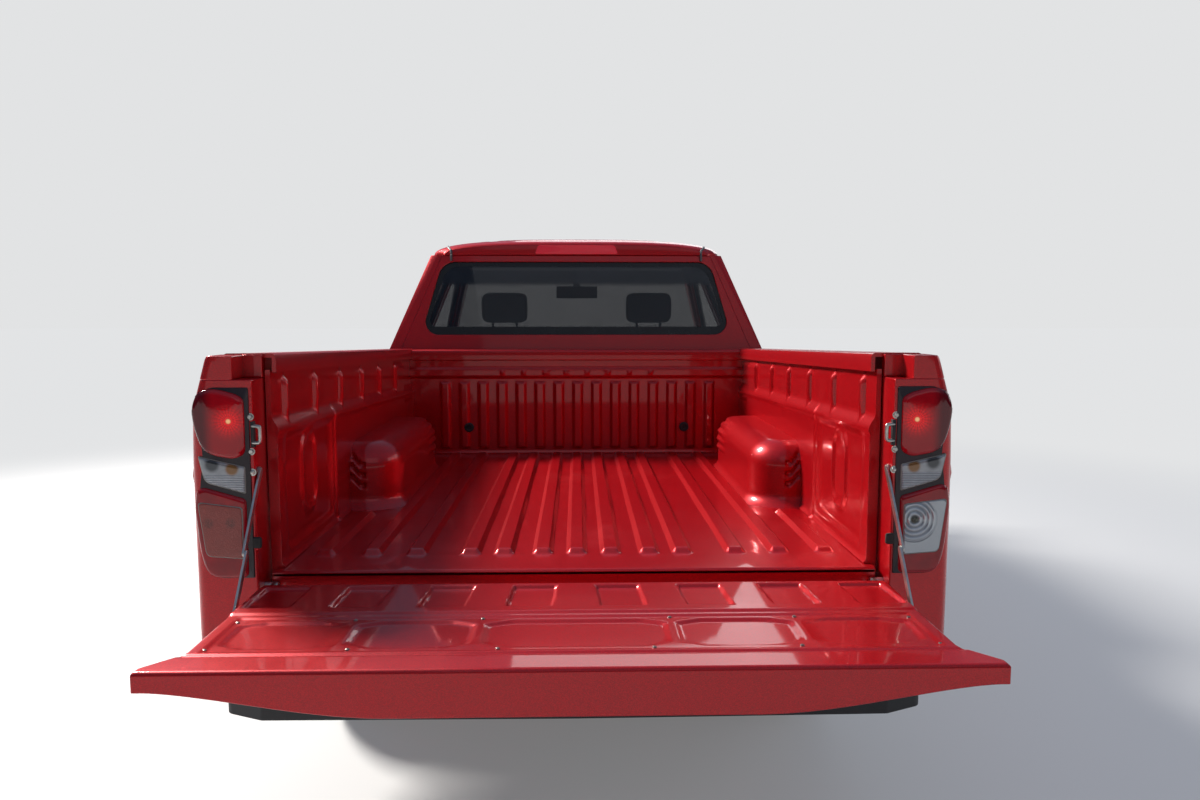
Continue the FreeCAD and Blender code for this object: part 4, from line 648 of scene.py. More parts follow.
def bed_floor():
    """Height over x and y: ridges with rounded flanks, ending in noses ahead of the floor's rear edge."""
    centres = sorted({s * c for c in (*RIDGES, OUTER_RIDGE) for s in SIDES})
    x = spaced(-BED_HALF, BED_HALF, 0.03, centres, 0.036, 0.004)
    rear, front = HINGE_Y + 0.0095, BULKHEAD
    y = spaced(rear, front, 0.06, (WALL_END + 0.115, front - 0.03, HOUSING_START - 0.07), 0.03, 0.004)
    y = np.unique(np.concatenate([y, np.linspace(rear, rear + 0.012, 5)]))
    across, along = np.meshgrid(x, y, indexing="ij")
    height = np.zeros_like(across)
    for centre in centres:
        end = HOUSING_START - 0.06 if abs(centre) == OUTER_RIDGE else front - 0.012
        rise = rib(across, centre, 0.030, 0.058) * inside(along, WALL_END + 0.128, end - 0.03, 0.028)
        height = np.maximum(height, rise)
    slope = inside(along, WALL_END + 0.16, front - 0.10, 0.05)
    height = 0.013 * height + 0.0015 * np.sin(along * 9) * slope * (1 - height)
    height -= 0.006 * (1 - step(along, rear, rear + 0.012)) ** 2
    top = np.stack([across, along, FLOOR + height], -1)
    under = np.stack([across, along, np.full_like(across, FLOOR - 0.006) + height * 0.9], -1)
    middle_x, middle_y = (x[1:] + x[:-1]) / 2, (y[1:] + y[:-1]) / 2
    well = (np.abs(middle_x)[:, None] > HOUSING_INNER + 0.06) & (
        (middle_y > HOUSING_START + 0.06) & (middle_y < HOUSING_END - 0.06))[None, :]
    parts = [plate(top, under, ~well)]
    for sill in (rear + 0.030, WALL_END + 0.420, REAR_AXLE - 0.060, REAR_AXLE + 0.540, BULKHEAD - 0.060):
        reach = BED_HALF if abs(sill - REAR_AXLE) > 0.5 else HOUSING_INNER - 0.015
        section = bent([(sill - 0.028, FLOOR - 0.075, 0.008), (sill + 0.028, FLOOR - 0.075, 0.008),
                        (sill + 0.028, FLOOR - 0.005), (sill - 0.028, FLOOR - 0.005)])
        parts.append(bar(section, "x", -reach, reach))
    lip = bent([(rear, FLOOR - 0.004), (rear + 0.004, FLOOR - 0.001), (rear + 0.004, FLOOR - 0.060),
                (rear, FLOOR - 0.060, 0.001)])
    parts.append(bar(lip, "x", -BED_HALF + 0.002, BED_HALF - 0.002))
    piece("bed_floor_pressing", parts, RED, replaces=["bed_floor"])


def wall_relief(y, z):
    """How far a bed wall stands in from its sheet: upright ribs over a sloping ledge, and under it a
    flush wall with a seam, a sunk panel and a slot-shaped ring."""
    ahead = y - WALL_END
    ledge = FLOOR + 0.352 - 0.060 * ahead / 1.780
    top = rail_top(y) - 0.046
    low_wall = 1 - step(z, ledge - 0.004, ledge + 0.026)
    ribs = np.zeros_like(y)
    for middle, width in ((0.094, 0.020), (0.352, 0.020), (0.618, 0.020), (0.890, 0.020), (1.160, 0.020),
                          (1.510, 0.150)):
        ribs = np.maximum(ribs, rib(ahead, middle, width - 0.008, width + 0.010))
    foot = step(z, ledge + 0.02, ledge + 0.050)
    ribs *= 1 - step(z, top - 0.030, top - 0.006)
    relief = 0.013 * np.maximum(low_wall, ribs * (0.85 + 0.15 * foot))
    relief += 0.004 * np.exp(-((z - ledge + 0.012) / 0.008) ** 2)
    sunk = inside(ahead, 0.075, 0.462, 0.018) * inside(z, FLOOR + 0.045, ledge - 0.040, 0.020)
    relief -= 0.008 * sunk * low_wall
    relief += 0.005 * rib(ahead, 0.505, 0.010, 0.030) * low_wall
    slot_y = np.abs(ahead - 0.263)
    slot_z = np.maximum(np.abs(z - FLOOR - 0.199) - 0.050, 0)
    ring = np.sqrt(np.maximum(slot_y, 1e-4) ** 2 + slot_z ** 2)
    relief += 0.007 * rib(ring, 0.060, 0.008, 0.026)
    front = inside(ahead, 1.60, 1.75, 0.02) * inside(z, FLOOR + 0.05, ledge - 0.05, 0.02)
    return relief - 0.006 * front * low_wall


def bed_wall():
    """Inner wall: a sheet at the bed's half width, pressed inwards by wall_relief."""
    marks = [WALL_END + m for m in (0.094, 0.352, 0.618, 0.890, 1.160, 1.43, 1.59, 0.190, 0.330, 0.505)]
    y = spaced(WALL_END, BULKHEAD + 0.01, 0.03, marks, 0.033, 0.006)
    share = np.linspace(0, 1, 76)
    along, up = np.meshgrid(y, share, indexing="ij")
    z = FLOOR - 0.055 + up * (rail_top(along) - 0.040 - FLOOR + 0.055)
    x = BED_HALF - wall_relief(along, z)
    corner = np.clip(1 - (z - FLOOR) / 0.016, 0, 1)
    x = x - 0.012 * corner ** 2 * (z > FLOOR - 0.001)
    front = np.stack([x, along, z], -1)
    back = np.stack([np.full_like(x, BED_HALF + 0.012), along, z], -1)
    return plate(front, back)


def side_line(y):
    """Chain (x, z) down a bed side: inner flange, rolled top rail, sloping shoulder, and the outer panel."""
    top = rail_top(y)
    return [(BED_HALF - 0.014, top - 0.046), (BED_HALF - 0.014, top - 0.012), (BED_HALF - 0.011, top - 0.003),
            (BED_HALF - 0.003, top), (0.844, top), (0.853, top - 0.004), (0.860, top - 0.013),
            (0.901, top - 0.084), (0.913, top - 0.125), (0.922, top - 0.180), (0.928, top - 0.245)]


def arch_edge(y, axle, low):
    """Lower edge of a panel: straight at low, and round the wheel arch."""
    reach = np.clip(ARCH ** 2 - (y - axle) ** 2, 0, None)
    return np.maximum(low, WHEEL_Z + np.sqrt(reach))


def body_width(z):
    """Half width of the body at a height under the shoulder: fullest at 0.9 m, tucked in at the sill."""
    return np.interp(z, [0.43, 0.50, 0.56, 0.62, 0.75, 0.90, 1.00, 1.08, 1.14],
                     [0.900, 0.914, 0.924, 0.930, 0.9335, 0.935, 0.934, 0.9315, 0.929])


def bed_skin():
    """Outer skin of a bed side, rail and all: the chain carried along the bed, with the panel under it
    running down to the wheel arch, whose edge stands out and turns in."""
    arch_foot = math.sqrt(ARCH ** 2 - (0.56 - WHEEL_Z) ** 2)
    marks = (REAR_AXLE - arch_foot, REAR_AXLE + arch_foot)
    y = spaced(WALL_END + 0.004, BED_FRONT, 0.03, marks, 0.05, 0.004)
    upper = np.array([side_line(v) for v in y])
    shoulder = upper[:, -1, 1]
    edge = arch_edge(y, REAR_AXLE, 0.560)
    share = np.concatenate([np.linspace(0, 1, 30)[1:-1], [0.985, 1.0]])
    z = shoulder[:, None] + share[None, :] * (edge - shoulder)[:, None]
    x = body_width(z)
    reach = np.hypot(y[:, None] - REAR_AXLE, z - WHEEL_Z) - ARCH
    x = x + 0.010 * np.exp(-(np.clip(reach, 0, None) / 0.030) ** 2) * (z < 0.85)
    crease = 0.004 * np.exp(-((z - 1.035) / 0.016) ** 2)
    x = x + crease
    lower = np.stack([x, z], -1)
    chain = np.concatenate([upper, lower], axis=1)
    front = np.stack([chain[..., 0], np.broadcast_to(y[:, None], chain.shape[:2]), chain[..., 1]], -1)
    way = np.gradient(chain, axis=1)
    normal = np.stack([-way[..., 1], way[..., 0]], -1)
    normal /= np.linalg.norm(normal, axis=-1, keepdims=True) + 1e-9
    inward = chain - normal * 0.010
    back = np.stack([inward[..., 0], front[..., 1], inward[..., 1]], -1)
    return plate(front, back)


def housing():
    """Wheel housing: a rounded box's outline drawn in over its top edge and flared at its foot. Grooves
    run round its rear outer corner, and nested ribs over its front inner corner."""
    start, end, inner, wall = HOUSING_START, HOUSING_END, HOUSING_INNER, BED_HALF + 0.004
    top, corner, roll = FLOOR + 0.210, 0.115, 0.080
    turn = np.linspace(0, math.pi / 2, 26)
    levels = [(-0.030 * (1 - s) ** 2.2, FLOOR - 0.002 + 0.042 * s) for s in np.linspace(0, 1, 8)[:-1]]
    levels += [(0.0, FLOOR + 0.040 + (top - roll - FLOOR - 0.040) * s) for s in np.linspace(0, 1, 22)]
    bend = np.linspace(0.08, math.pi / 2, 16)
    levels += [(roll * (1 - math.cos(t)), top - roll + roll * math.sin(t)) for t in bend]
    levels += [(d, top) for d in np.linspace(roll + 0.008, wall - inner - 0.003, 12)]
    grids = []
    for thickness in (0.0, 0.010):
        rows = []
        for inset, z in levels:
            inset = inset + thickness
            r = max(corner - inset, 0.002)
            x_in, y_low, y_high = min(inner + inset, wall - 0.002), start + inset, end - inset
            rear = np.stack([np.linspace(wall, x_in + r, 14, endpoint=False), np.full(14, y_low)], -1)
            first = np.stack([x_in + r - r * np.sin(turn), y_low + r - r * np.cos(turn)], -1)
            side = np.stack([np.full(30, x_in), np.linspace(y_low + r, y_high - r, 32)[1:-1]], -1)
            second = np.stack([x_in + r - r * np.cos(turn), y_high - r + r * np.sin(turn)], -1)
            far = np.stack([np.linspace(x_in + r, wall, 15)[1:], np.full(14, y_high)], -1)
            line = np.concatenate([rear, first, side, second, far])
            rows.append(np.concatenate([line, np.full((len(line), 1), z - thickness)], axis=1))
        grids.append(np.array(rows))
    front, back = grids
    around = np.arange(front.shape[1])[None, :] + 0 * np.arange(len(levels))[:, None]
    z = front[..., 2]
    run_up = np.cumsum(np.hypot(*np.diff(np.array(levels), axis=0, prepend=np.array(levels)[:1]).T))[:, None]
    slits = sum(rib(z + 0.030 * step(front[..., 0], 0.725, 0.69), FLOOR + h, 0.006, 0.024)
                for h in (0.104, 0.138, 0.172))
    slits = slits * inside(front[..., 0], 0.668, 0.722, 0.018) * (around < 16)
    nested = (0.5 - 0.5 * np.cos((run_up - 0.09) * 2 * math.pi / 0.030)) * inside(run_up, 0.10, 0.23, 0.02)
    nested = nested * inside(around, 68, 96, 7)
    push = -0.010 * slits + 0.007 * nested
    normal = np.cross(np.gradient(front, axis=1), np.gradient(front, axis=0))
    normal /= np.linalg.norm(normal, axis=-1, keepdims=True) + 1e-9
    outwards = np.sign(np.sum(normal[10, 60] * (-1, 0, 0)))
    front = front + normal * outwards * push[..., None]
    return plate(front, back)


def corner_post():
    """Rear corner: an upright of a rounded outline that leans in over the lamp, and above the notch for the
    tailgate's ear only its outer column and a wall ahead of the ear."""
    notch, ear, ahead = 1.272, 0.799, -2.2765
    columns = [[], [], []]
    top = rail_top(WALL_END) - 0.003
    heights = np.concatenate([np.linspace(0.6006, 1.20, 20), np.linspace(1.215, notch, 5),
                              np.linspace(notch, top, 8)])
    for index, z in enumerate(heights):
        lean = np.interp(z, [0.60, 1.085, 1.20, 1.240, 1.318, 1.330], [0.0, 0.0, 0.006, 0.024, 0.062, 0.074])
        outer = 0.897 - 0.5 * lean
        side = body_width(min(z, 1.10)) - lean
        inner = POST_INNER + (0.030 if z < 0.64 else 0.0)
        front = WALL_END + 0.012
        if index < 25:
            line = [(inner, POST_REAR, 0.006), (outer, POST_REAR, 0.024), (side, front), (inner, front)]
            columns[0].append(placed(bent(line, 6), "z", z))
        else:
            line = [(ear, POST_REAR, 0.004), (outer, POST_REAR, 0.022), (side, front), (ear, front)]
            columns[1].append(placed(bent(line, 6), "z", z))
            line = [(inner, ahead), (ear + 0.004, ahead), (ear + 0.004, front), (inner, front)]
            columns[2].append(placed(bent(line, 6), "z", z))
    return [tube(np.array(rings)) for rings in columns]


def bed_sides():
    parts = both([bed_wall(), bed_skin(), housing()])
    piece("bed_side_pressings", parts, RED, replaces=["bed_sides"])


bed_floor()
bed_sides()


def bulkhead():
    """Front wall of the bed: fifteen upright ribs, two folds above them, and a rolled top rail."""
    ribs = [(k - 7) * 0.084 for k in range(15)]
    x = spaced(-BED_HALF, BED_HALF, 0.03, ribs, 0.034, 0.0042)
    top = rail_top(BULKHEAD)
    folds = [FLOOR + fold for fold in (0.035, 0.318, 0.350, 0.385)]
    z = spaced(FLOOR - 0.055, top - 0.050, 0.02, folds, 0.02, 0.004)
    across, up = np.meshgrid(x, z, indexing="ij")
    height = np.zeros_like(across)
    for middle in ribs:
        height = np.maximum(height, rib(across, middle + 0.004, 0.026, 0.050))
    out = 0.010 * height * inside(up, FLOOR + 0.034, FLOOR + 0.314, 0.012)
    out += 0.008 * step(up, FLOOR + 0.338, FLOOR + 0.350) - 0.005 * step(up, FLOOR + 0.378, FLOOR + 0.388)
    for k in range(8):
        spot = np.hypot(across - (-0.33 + k * 0.094), up - FLOOR - 0.364)
        out += 0.003 * rib(spot, 0.0, 0.008, 0.026)
    out += 0.010 * np.clip(1 - (up - FLOOR) / 0.014, 0, 1) ** 2 * (up > FLOOR - 0.001)
    front = np.stack([across, BULKHEAD - out, up], -1)
    back = np.stack([across, np.full_like(across, BULKHEAD + 0.014), up], -1)
    half = BED_HALF - 0.0145
    rail = bent([(BULKHEAD - 0.018, top - 0.052, 0.004), (BED_FRONT, top - 0.052, 0.003),
                 (BED_FRONT, top - 0.004, 0.008), (BULKHEAD - 0.018, top - 0.004, 0.012)])
    piece("bed_bulkhead_pressing", [plate(front, back), bar(rail, "x", -half, half)], RED,
          replaces=["bed_bulkhead"])
    plugs = []
    for middle in (-0.480, 0.480):
        seat = (middle, BULKHEAD - 0.006, FLOOR + 0.120)
        plugs.append(lathe([(0.0, 0.021), (0.006, 0.021), (0.009, 0.018), (0.009, 0.012), (0.004, 0.009)],
                           seat, (0, -1, 0), 28))
    piece("bulkhead_plugs", plugs, BLACK)


# Tailgate, placed by reach from its hinge towards its tip

TAILGATE_HALF = 0.735
DECK = 0.795
REACH_START, REACH_TIP = 0.042, 0.578


def tailgate_half(reach):
    """Half width of the tailgate: narrower by the hinge, straight, then out to the ears."""
    return np.interp(reach, [0.042, 0.102, 0.478, 0.492, 0.556, 0.578],
                     [0.727, 0.735, 0.735, 0.738, 0.792, 0.792])


def deck_relief(x, reach):
    """Depth pressed into the tailgate's deck: eight sunk panels by the hinge with flat ones between, a
    crease, five shallow trays whose corners draw in round the bolts, and a groove before the tip."""
    depth = np.zeros_like(x)
    for k in range(-7, 8, 2):
        middle = k * 0.095
        slant = (reach - 0.100) * 0.06 * np.sign(middle)
        depth = np.maximum(depth, 0.0080 * inside(x - slant, middle - 0.046, middle + 0.046, 0.006)
                           * inside(reach, 0.104, 0.232, 0.012))
    depth += 0.0035 * step(reach, 0.272, 0.284)
    frame_in = inside(x, -0.700, 0.700, 0.010) * inside(reach, 0.302, 0.478, 0.010)
    depth += 0.003 * frame_in
    for low, high in ((-0.690, -0.472), (-0.448, -0.208), (-0.184, 0.184), (0.208, 0.448), (0.472, 0.690)):
        corner = np.minimum(np.minimum(x - low, high - x), 0.05) / 0.05
        bite = 0.020 * (1 - np.clip(corner, 0, 1))
        depth += 0.005 * inside(x, low + 0.008, high - 0.008, 0.014) * inside(
            reach, 0.322 + bite, 0.452 - bite, 0.012)
    depth += 0.003 * rib(reach, 0.500, 0.004, 0.016) * inside(x, -0.735, 0.735, 0.01)
    return depth


def tailgate():
    """The deck's grid runs out by tailgate_half, bends down at its edges and closes on the underside; the
    tip's face is deepest in the middle and tapers to the ears."""
    shares = [k * 0.049 / 0.755 for k in range(1, 16, 2)] + [0.61, 0.26, 0.93, 0.99]
    span = spaced(-1.0, 1.0, 0.03, [share * side for share in shares for side in SIDES], 0.028, 0.0062)
    creases = (0.098, 0.238, 0.278, 0.30, 0.325, 0.455, 0.480, 0.500, 0.05, 0.57)
    reach = spaced(REACH_START, REACH_TIP, 0.02, creases, 0.016, 0.0036)
    across, out = np.meshgrid(span, reach, indexing="ij")
    x = across * tailgate_half(out)
    depth = deck_relief(x, out)
    border = np.minimum(np.minimum((out - REACH_START), (REACH_TIP - out)) / 0.006,
                        (tailgate_half(out) - np.abs(x)) / 0.006)
    depth += 0.005 * np.clip(1 - border, 0, 1) ** 2
    depth += 0.034 * np.clip(1 - (out - REACH_START) / 0.036, 0, 1) ** 1.6
    top = np.stack([x, HINGE_Y - out, DECK - depth], -1)
    tip_depth = 0.042 + 0.052 * step(0.775 - np.abs(x), 0.0, 0.44) ** 0.8
    base = 0.056
    low = base + (tip_depth - base) * step(out, 0.500, 0.566)
    low = np.where(out < 0.5, base - 0.012 * np.clip(1 - (0.755 - np.abs(x)) / 0.02, 0, 1), low)
    under = np.stack([x, HINGE_Y - out, DECK - low], -1)
    piece("tailgate_pressing", [plate(top, under)], RED, body="tailgate",
          replaces=["tailgate"], rounding=0.0025)
    pins = []
    for side in SIDES:
        near, far = side * (TAILGATE_HALF - 0.012), side * (POST_INNER - 0.0003)
        profile = [(0.0, 0.008), (abs(far - near), 0.008)]
        pins.append(lathe(profile, (near, HINGE_Y, HINGE_Z), (side, 0, 0), 20))
        pins.append(block((side * 0.7305 - 0.0045, HINGE_Y - 0.060, HINGE_Z - 0.013),
                          (side * 0.7305 + 0.0045, HINGE_Y - 0.001, HINGE_Z + 0.0075), 0.002))
        pins.append(lathe([(0.0, 0.005), (0.0105, 0.005)], (side * 0.730, STAY_LOWER[0], STAY_LOWER[1]),
                          (side, 0, 0), 16))
    piece("tailgate_hinges", pins, ZINC, body="tailgate")
    bolts = []
    for x, out in ((0.700, 0.318), (0.460, 0.308), (0.196, 0.306), (0.706, 0.468), (0.436, 0.470),
                   (0.150, 0.472)):
        for side in SIDES:
            bolts.append(dome((side * x, HINGE_Y - out, DECK - 0.0075), (0, 0, 1), 0.0046, 0.004, 14))
    piece("tailgate_bolts", bolts, BOLT, body="tailgate")


# Folding stays

STAY_ANGLE = math.radians(36.2)
STAY_WAY = np.array([-math.sin(STAY_ANGLE), -math.cos(STAY_ANGLE)])
STAY_UPPER = np.array([HINGE_Y - 0.018, HINGE_Z + 0.285])
STAY_MIDDLE = STAY_UPPER + STAY_WAY * 0.208
STAY_LOWER = STAY_MIDDLE + STAY_WAY * 0.151


def flat_link(start, end, low, high):
    """A flat bar with round ends and a shallow stiffening channel, between two pivots (y, z)."""
    way = (end - start) / np.linalg.norm(end - start)
    side = np.array([-way[1], way[0]])
    turn = np.linspace(0, math.pi, 9)[:, None]
    head = end + 0.0075 * (np.cos(turn) * side + np.sin(turn) * way)
    foot = start + 0.0075 * (np.cos(turn + math.pi) * side + np.sin(turn + math.pi) * way)
    return bar(np.concatenate([head, foot]), "x", low, high, 0.0008)


def stays():
    near, far = TAILGATE_HALF + 0.006, TAILGATE_HALF + 0.0116
    for side, label in ((1, "right"), (-1, "left")):
        upper = [flat_link(STAY_UPPER, STAY_MIDDLE, far, far + 0.005),
                 lathe([(0.0, 0.010), (0.003, 0.010), (0.006, 0.006)], (far + 0.0045, *STAY_UPPER),
                       (1, 0, 0), 20),
                 lathe([(0.0, 0.0042), (0.0075, 0.0042)], (near - 0.0005, *STAY_MIDDLE), (1, 0, 0), 16)]
        lower = [flat_link(STAY_MIDDLE, STAY_LOWER, near, near + 0.005),
                 lathe([(0.0, 0.0065), (0.002, 0.0065)], (near - 0.002, *STAY_LOWER), (1, 0, 0), 16)]
        if side < 0:
            upper, lower = [mirrored(p) for p in upper], [mirrored(p) for p in lower]
        piece("stay_upper_link_" + label, upper, ZINC, "stay_upper_" + label,
              ["stay_upper_" + label])
        piece("stay_lower_link_" + label, lower, ZINC, "stay_lower_" + label,
              ["stay_lower_" + label])


def post_fittings():
    """On each corner post: the latch striker on its plate, four bolts, a rubber stop and spot welds."""
    face = POST_REAR + 0.0005
    steel, welds, stops = [], [], []
    for height in (1.186, 1.104):
        steel += hexagon((POST_INNER + 0.0045, face, height), (0, -1, 0), 0.0058, 0.007)
    loop = curve([(POST_INNER + 0.004, face + 0.004, 1.164), (POST_INNER - 0.012, face, 1.163),
                  (POST_INNER - 0.016, face, 1.157), (POST_INNER - 0.016, face, 1.131),
                  (POST_INNER - 0.012, face, 1.125), (POST_INNER + 0.004, face + 0.004, 1.124)], 30)
    steel.append(pipe(loop, 0.0045))
    plates = [block((POST_INNER - 0.0025, face - 0.0005, 1.113), (POST_INNER + 0.0065, face + 0.012, 1.175),
                    0.001)]
    stops.append(block((POST_INNER - 0.012, face - 0.006, FLOOR + 0.074),
                       (POST_INNER + 0.010, face + 0.002, FLOOR + 0.100), 0.004))
    for height in (0.872, 0.898, 1.058, 1.212, 1.232, 1.252):
        welds.append(dome((POST_INNER + 0.0035, face + 0.0005, height), (0, -1, 0), 0.0028, 0.0012, 10))
    steel.append(dome((POST_INNER + 0.004, face, STAY_UPPER[1]), (0, -1, 0), 0.0060, 0.005, 16))
    piece("corner_post_steel", both(steel), ZINC)
    piece("corner_post_welds", both(welds), RED)
    piece("corner_post_stops", both(stops), RUBBER)
    piece("striker_plates", both(plates), BLACK)


# Tail lamps

LAMP_BACK = POST_REAR + 0.040


def moulding(corners, back, front, roll, crown=0.003, steps=7):
    """A lens: a rounded outline carried rearwards from back, then drawn in over its edge to front, its face
    a little crowned."""
    line = bent(corners, 7)
    line = np.concatenate([line, line[:1]])
    line = np.concatenate([np.linspace(a, b, 4, endpoint=False) for a, b in zip(line[:-1], line[1:])])
    middle = (line.max(axis=0) + line.min(axis=0)) / 2
    half = np.ptp(line, axis=0) / 2
    rings = [placed(line, "y", back)]
    for t in np.linspace(0, 1, steps):
        drawn = roll * (1 - math.cos(t * math.pi / 2))
        at = front + roll * (1 - math.sin(t * math.pi / 2)) * 0.8
        rings.append(placed(middle + (line - middle) * (1 - drawn / half), "y", at))
    for share in (0.66, 0.33, 0.08):
        inner = middle + (line - middle) * (1 - roll / half) * share
        rings.append(placed(inner, "y", front - crown * (1 - share ** 2)))
    return tube(np.array(rings))


UPPER_LENS = [(0.772, 1.098, 0.016), (0.800, 1.087, 0.010), (0.852, 1.096, 0.020), (0.874, 1.112, 0.020),
              (0.892, 1.172, 0.030), (0.893, 1.222, 0.030), (0.872, 1.249, 0.018), (0.838, 1.253, 0.020),
              (0.790, 1.240, 0.012), (0.772, 1.228, 0.010)]
MIDDLE_LENS = [(0.776, 1.006, 0.006), (0.868, 1.032, 0.016), (0.881, 1.092, 0.005), (0.776, 1.068, 0.005)]
LOWER_FRAME = [(0.774, 0.803, 0.016), (0.868, 0.803, 0.030), (0.885, 0.860, 0.030), (0.896, 0.985, 0.030),
               (0.884, 1.024, 0.020), (0.774, 0.992, 0.010)]
INSET = [(0.784, 0.852, 0.006), (0.868, 0.858, 0.014), (0.884, 0.985, 0.012), (0.784, 0.972, 0.008)]


def grown(corners, by):
    """An outline of corners moved away from its middle."""
    points = np.array([c[:2] for c in corners])
    middle = (points.max(axis=0) + points.min(axis=0)) / 2
    half = np.ptp(points, axis=0) / 2
    moved = middle + (points - middle) * (1 + by / half)
    return [(*point, c[2]) for point, c in zip(moved, corners)]


def tail_lamps():
    """Upper red lens over its lit bulb in a dark surround, clear middle lens with an amber bulb, and the
    lower red frame round an inset: a reflector on the left, a reversing lamp on the right."""
    case = both([bar(bent([(0.762, 0.8015, 0.004), (0.856, 0.8015, 0.02), (0.876, 0.87, 0.02),
                           (0.884, 0.99, 0.01), (0.872, 1.10, 0.01), (0.884, 1.20, 0.02),
                           (0.862, 1.2545, 0.02), (0.762, 1.2545, 0.006)]),
                     "y", POST_REAR - 0.004, LAMP_BACK, 0.003)])
    piece("tail_lamp_surrounds", case, SURROUND, replaces=["rear_lamps"])
    rear = POST_REAR - 0.0005
    piece("tail_lamp_upper_lenses", both([moulding(UPPER_LENS, rear, POST_REAR - 0.0135, 0.013)]), BRAKE_LENS)
    piece("tail_lamp_middle_lenses", both([moulding(MIDDLE_LENS, rear, POST_REAR - 0.008, 0.005, 0.001)]),
          TURN_LENS)
    piece("tail_lamp_lower_frames", both([moulding(LOWER_FRAME, rear, POST_REAR - 0.011, 0.011, 0.001)]),
          FRAME_LENS)
    rims = both([moulding(grown(INSET, 0.0025), rear, POST_REAR - 0.0125, 0.003, 0.0),
                 moulding(grown(MIDDLE_LENS, 0.0025), rear, POST_REAR - 0.0055, 0.003, 0.0)])
    piece("tail_lamp_inset_rims", rims, TRIM)
    inset = moulding(INSET, rear, POST_REAR - 0.0137, 0.002, 0.0)
    piece("reversing_lamp", [inset], REVERSE_LENS)
    piece("rear_reflector", [mirrored(inset)], REFLECTOR)


def brake_bar():
    """High brake lamp on the roof's rear edge: a trapezoid bar with rounded ends and fine lines on top."""
    y_face, y_back = -0.3385, -0.300
    body = bar(bent([(-0.190, 1.696, 0.010), (0.190, 1.696, 0.010), (0.174, 1.736, 0.012),
                     (-0.174, 1.736, 0.012)], 6), "y", y_face, y_back, 0.003)
    piece("high_brake_lamp", [body], BAR_LENS)


tailgate()
bulkhead()
stays()
piece("corner_posts", both(corner_post()), RED, rounding=0.002)
post_fittings()
tail_lamps()
brake_bar()


# Cab

REAR_PANE = [(-0.7037, 1.330, 0.060), (0.7037, 1.330, 0.060), (0.6117, 1.660, 0.080), (-0.6117, 1.660, 0.080)]


def border(outer, inner, face, back):
    """A flat ring between two outlines (a, b) with as many points: face and back give each point's place."""
    rings = [np.stack([face(*o), face(*i), back(*i), back(*o)]) for o, i in zip(outer, inner)]
    return tube(np.array(rings), loop=True)


def rear_window_border():
    """Black border printed round the rear window, thickest at its foot."""
    outer = bent([(a * 0.9985, b + (0.0005 if b < 1.5 else -0.0005), c) for a, b, c in REAR_PANE], 10)
    inner = bent([(-0.678, 1.366, 0.050), (0.678, 1.366, 0.050), (0.592, 1.640, 0.066),
                  (-0.592, 1.640, 0.066)], 10)

    def outside(x, z):
        return x, -0.4045 + (z - 1.195) * 0.1818, z

    def behind(x, z):
        return x, -0.4025 + (z - 1.195) * 0.1818, z

    piece("rear_window_border", [border(outer, inner, outside, behind)], FRIT)


# (place along the truck, half width, height over the side rail)
ROOF_LINE = [(-0.3330, 0.600, 0.002), (-0.3325, 0.601, 0.030), (-0.3300, 0.603, 0.048),
             (-0.324, 0.610, 0.056), (-0.309, 0.639, 0.062), (-0.265, 0.657, 0.073), (-0.085, 0.665, 0.091),
             (0.200, 0.665, 0.098), (0.480, 0.665, 0.0995), (0.700, 0.663, 0.085), (0.790, 0.662, 0.068),
             (0.830, 0.661, 0.050), (0.8378, 0.660, 0.020), (0.8379, 0.660, 0.002)]


def roof():
    """Roof: a flat-topped crown over (y, half width, height) stations, rounded down to the side rails,
    with two shallow swages along it."""
    stations = np.array(ROOF_LINE)
    along = np.concatenate([np.arange(0, 5, 0.25), np.arange(5, 9, 0.125),
                            np.arange(9, len(stations) - 0.99, 0.25)])
    y, half, high = (np.interp(along, np.arange(len(stations)), column) for column in stations.T)
    turn = np.sin(np.linspace(-math.pi / 2, math.pi / 2, 90))[None, :]
    crown = (1 - np.abs(turn) ** 3.2) ** (1 / 2.4)
    x = turn * half[:, None]
    swage = 0.004 * np.exp(-((np.abs(x) - 0.40) / 0.018) ** 2) * inside(y, -0.20, 0.66, 0.10)[:, None]
    z = 1.690 + crown * (high[:, None] - swage)
    top = np.stack([x, np.broadcast_to(y[:, None], x.shape), z], -1)
    in_y = np.clip(y, y[0] + 0.012, y[-1] - 0.012)
    under = np.stack([x * 0.975, np.broadcast_to(in_y[:, None], x.shape), np.maximum(z - 0.012, 1.6895)], -1)
    piece("roof_pressing", [plate(top, under)], RED, replaces=["roof_panel"])
    inset = np.interp(y, [-0.333, -0.309, -0.2, 0.80], [0.570, 0.585, 0.604, 0.604])
    level = 1.690 + (1 - (inset / half) ** 3.2) ** (1 / 2.4) * high
    line = np.stack([inset, y, level - 0.001], -1)[:-3]
    line = np.concatenate([[[0.570, -0.3365, 1.664], [0.570, -0.3362, 1.690]], line])
    piece("roof_drip_strips", both([pipe(line, 0.0055, 8)]), STRIP)


rear_window_border()
roof()


# Seats

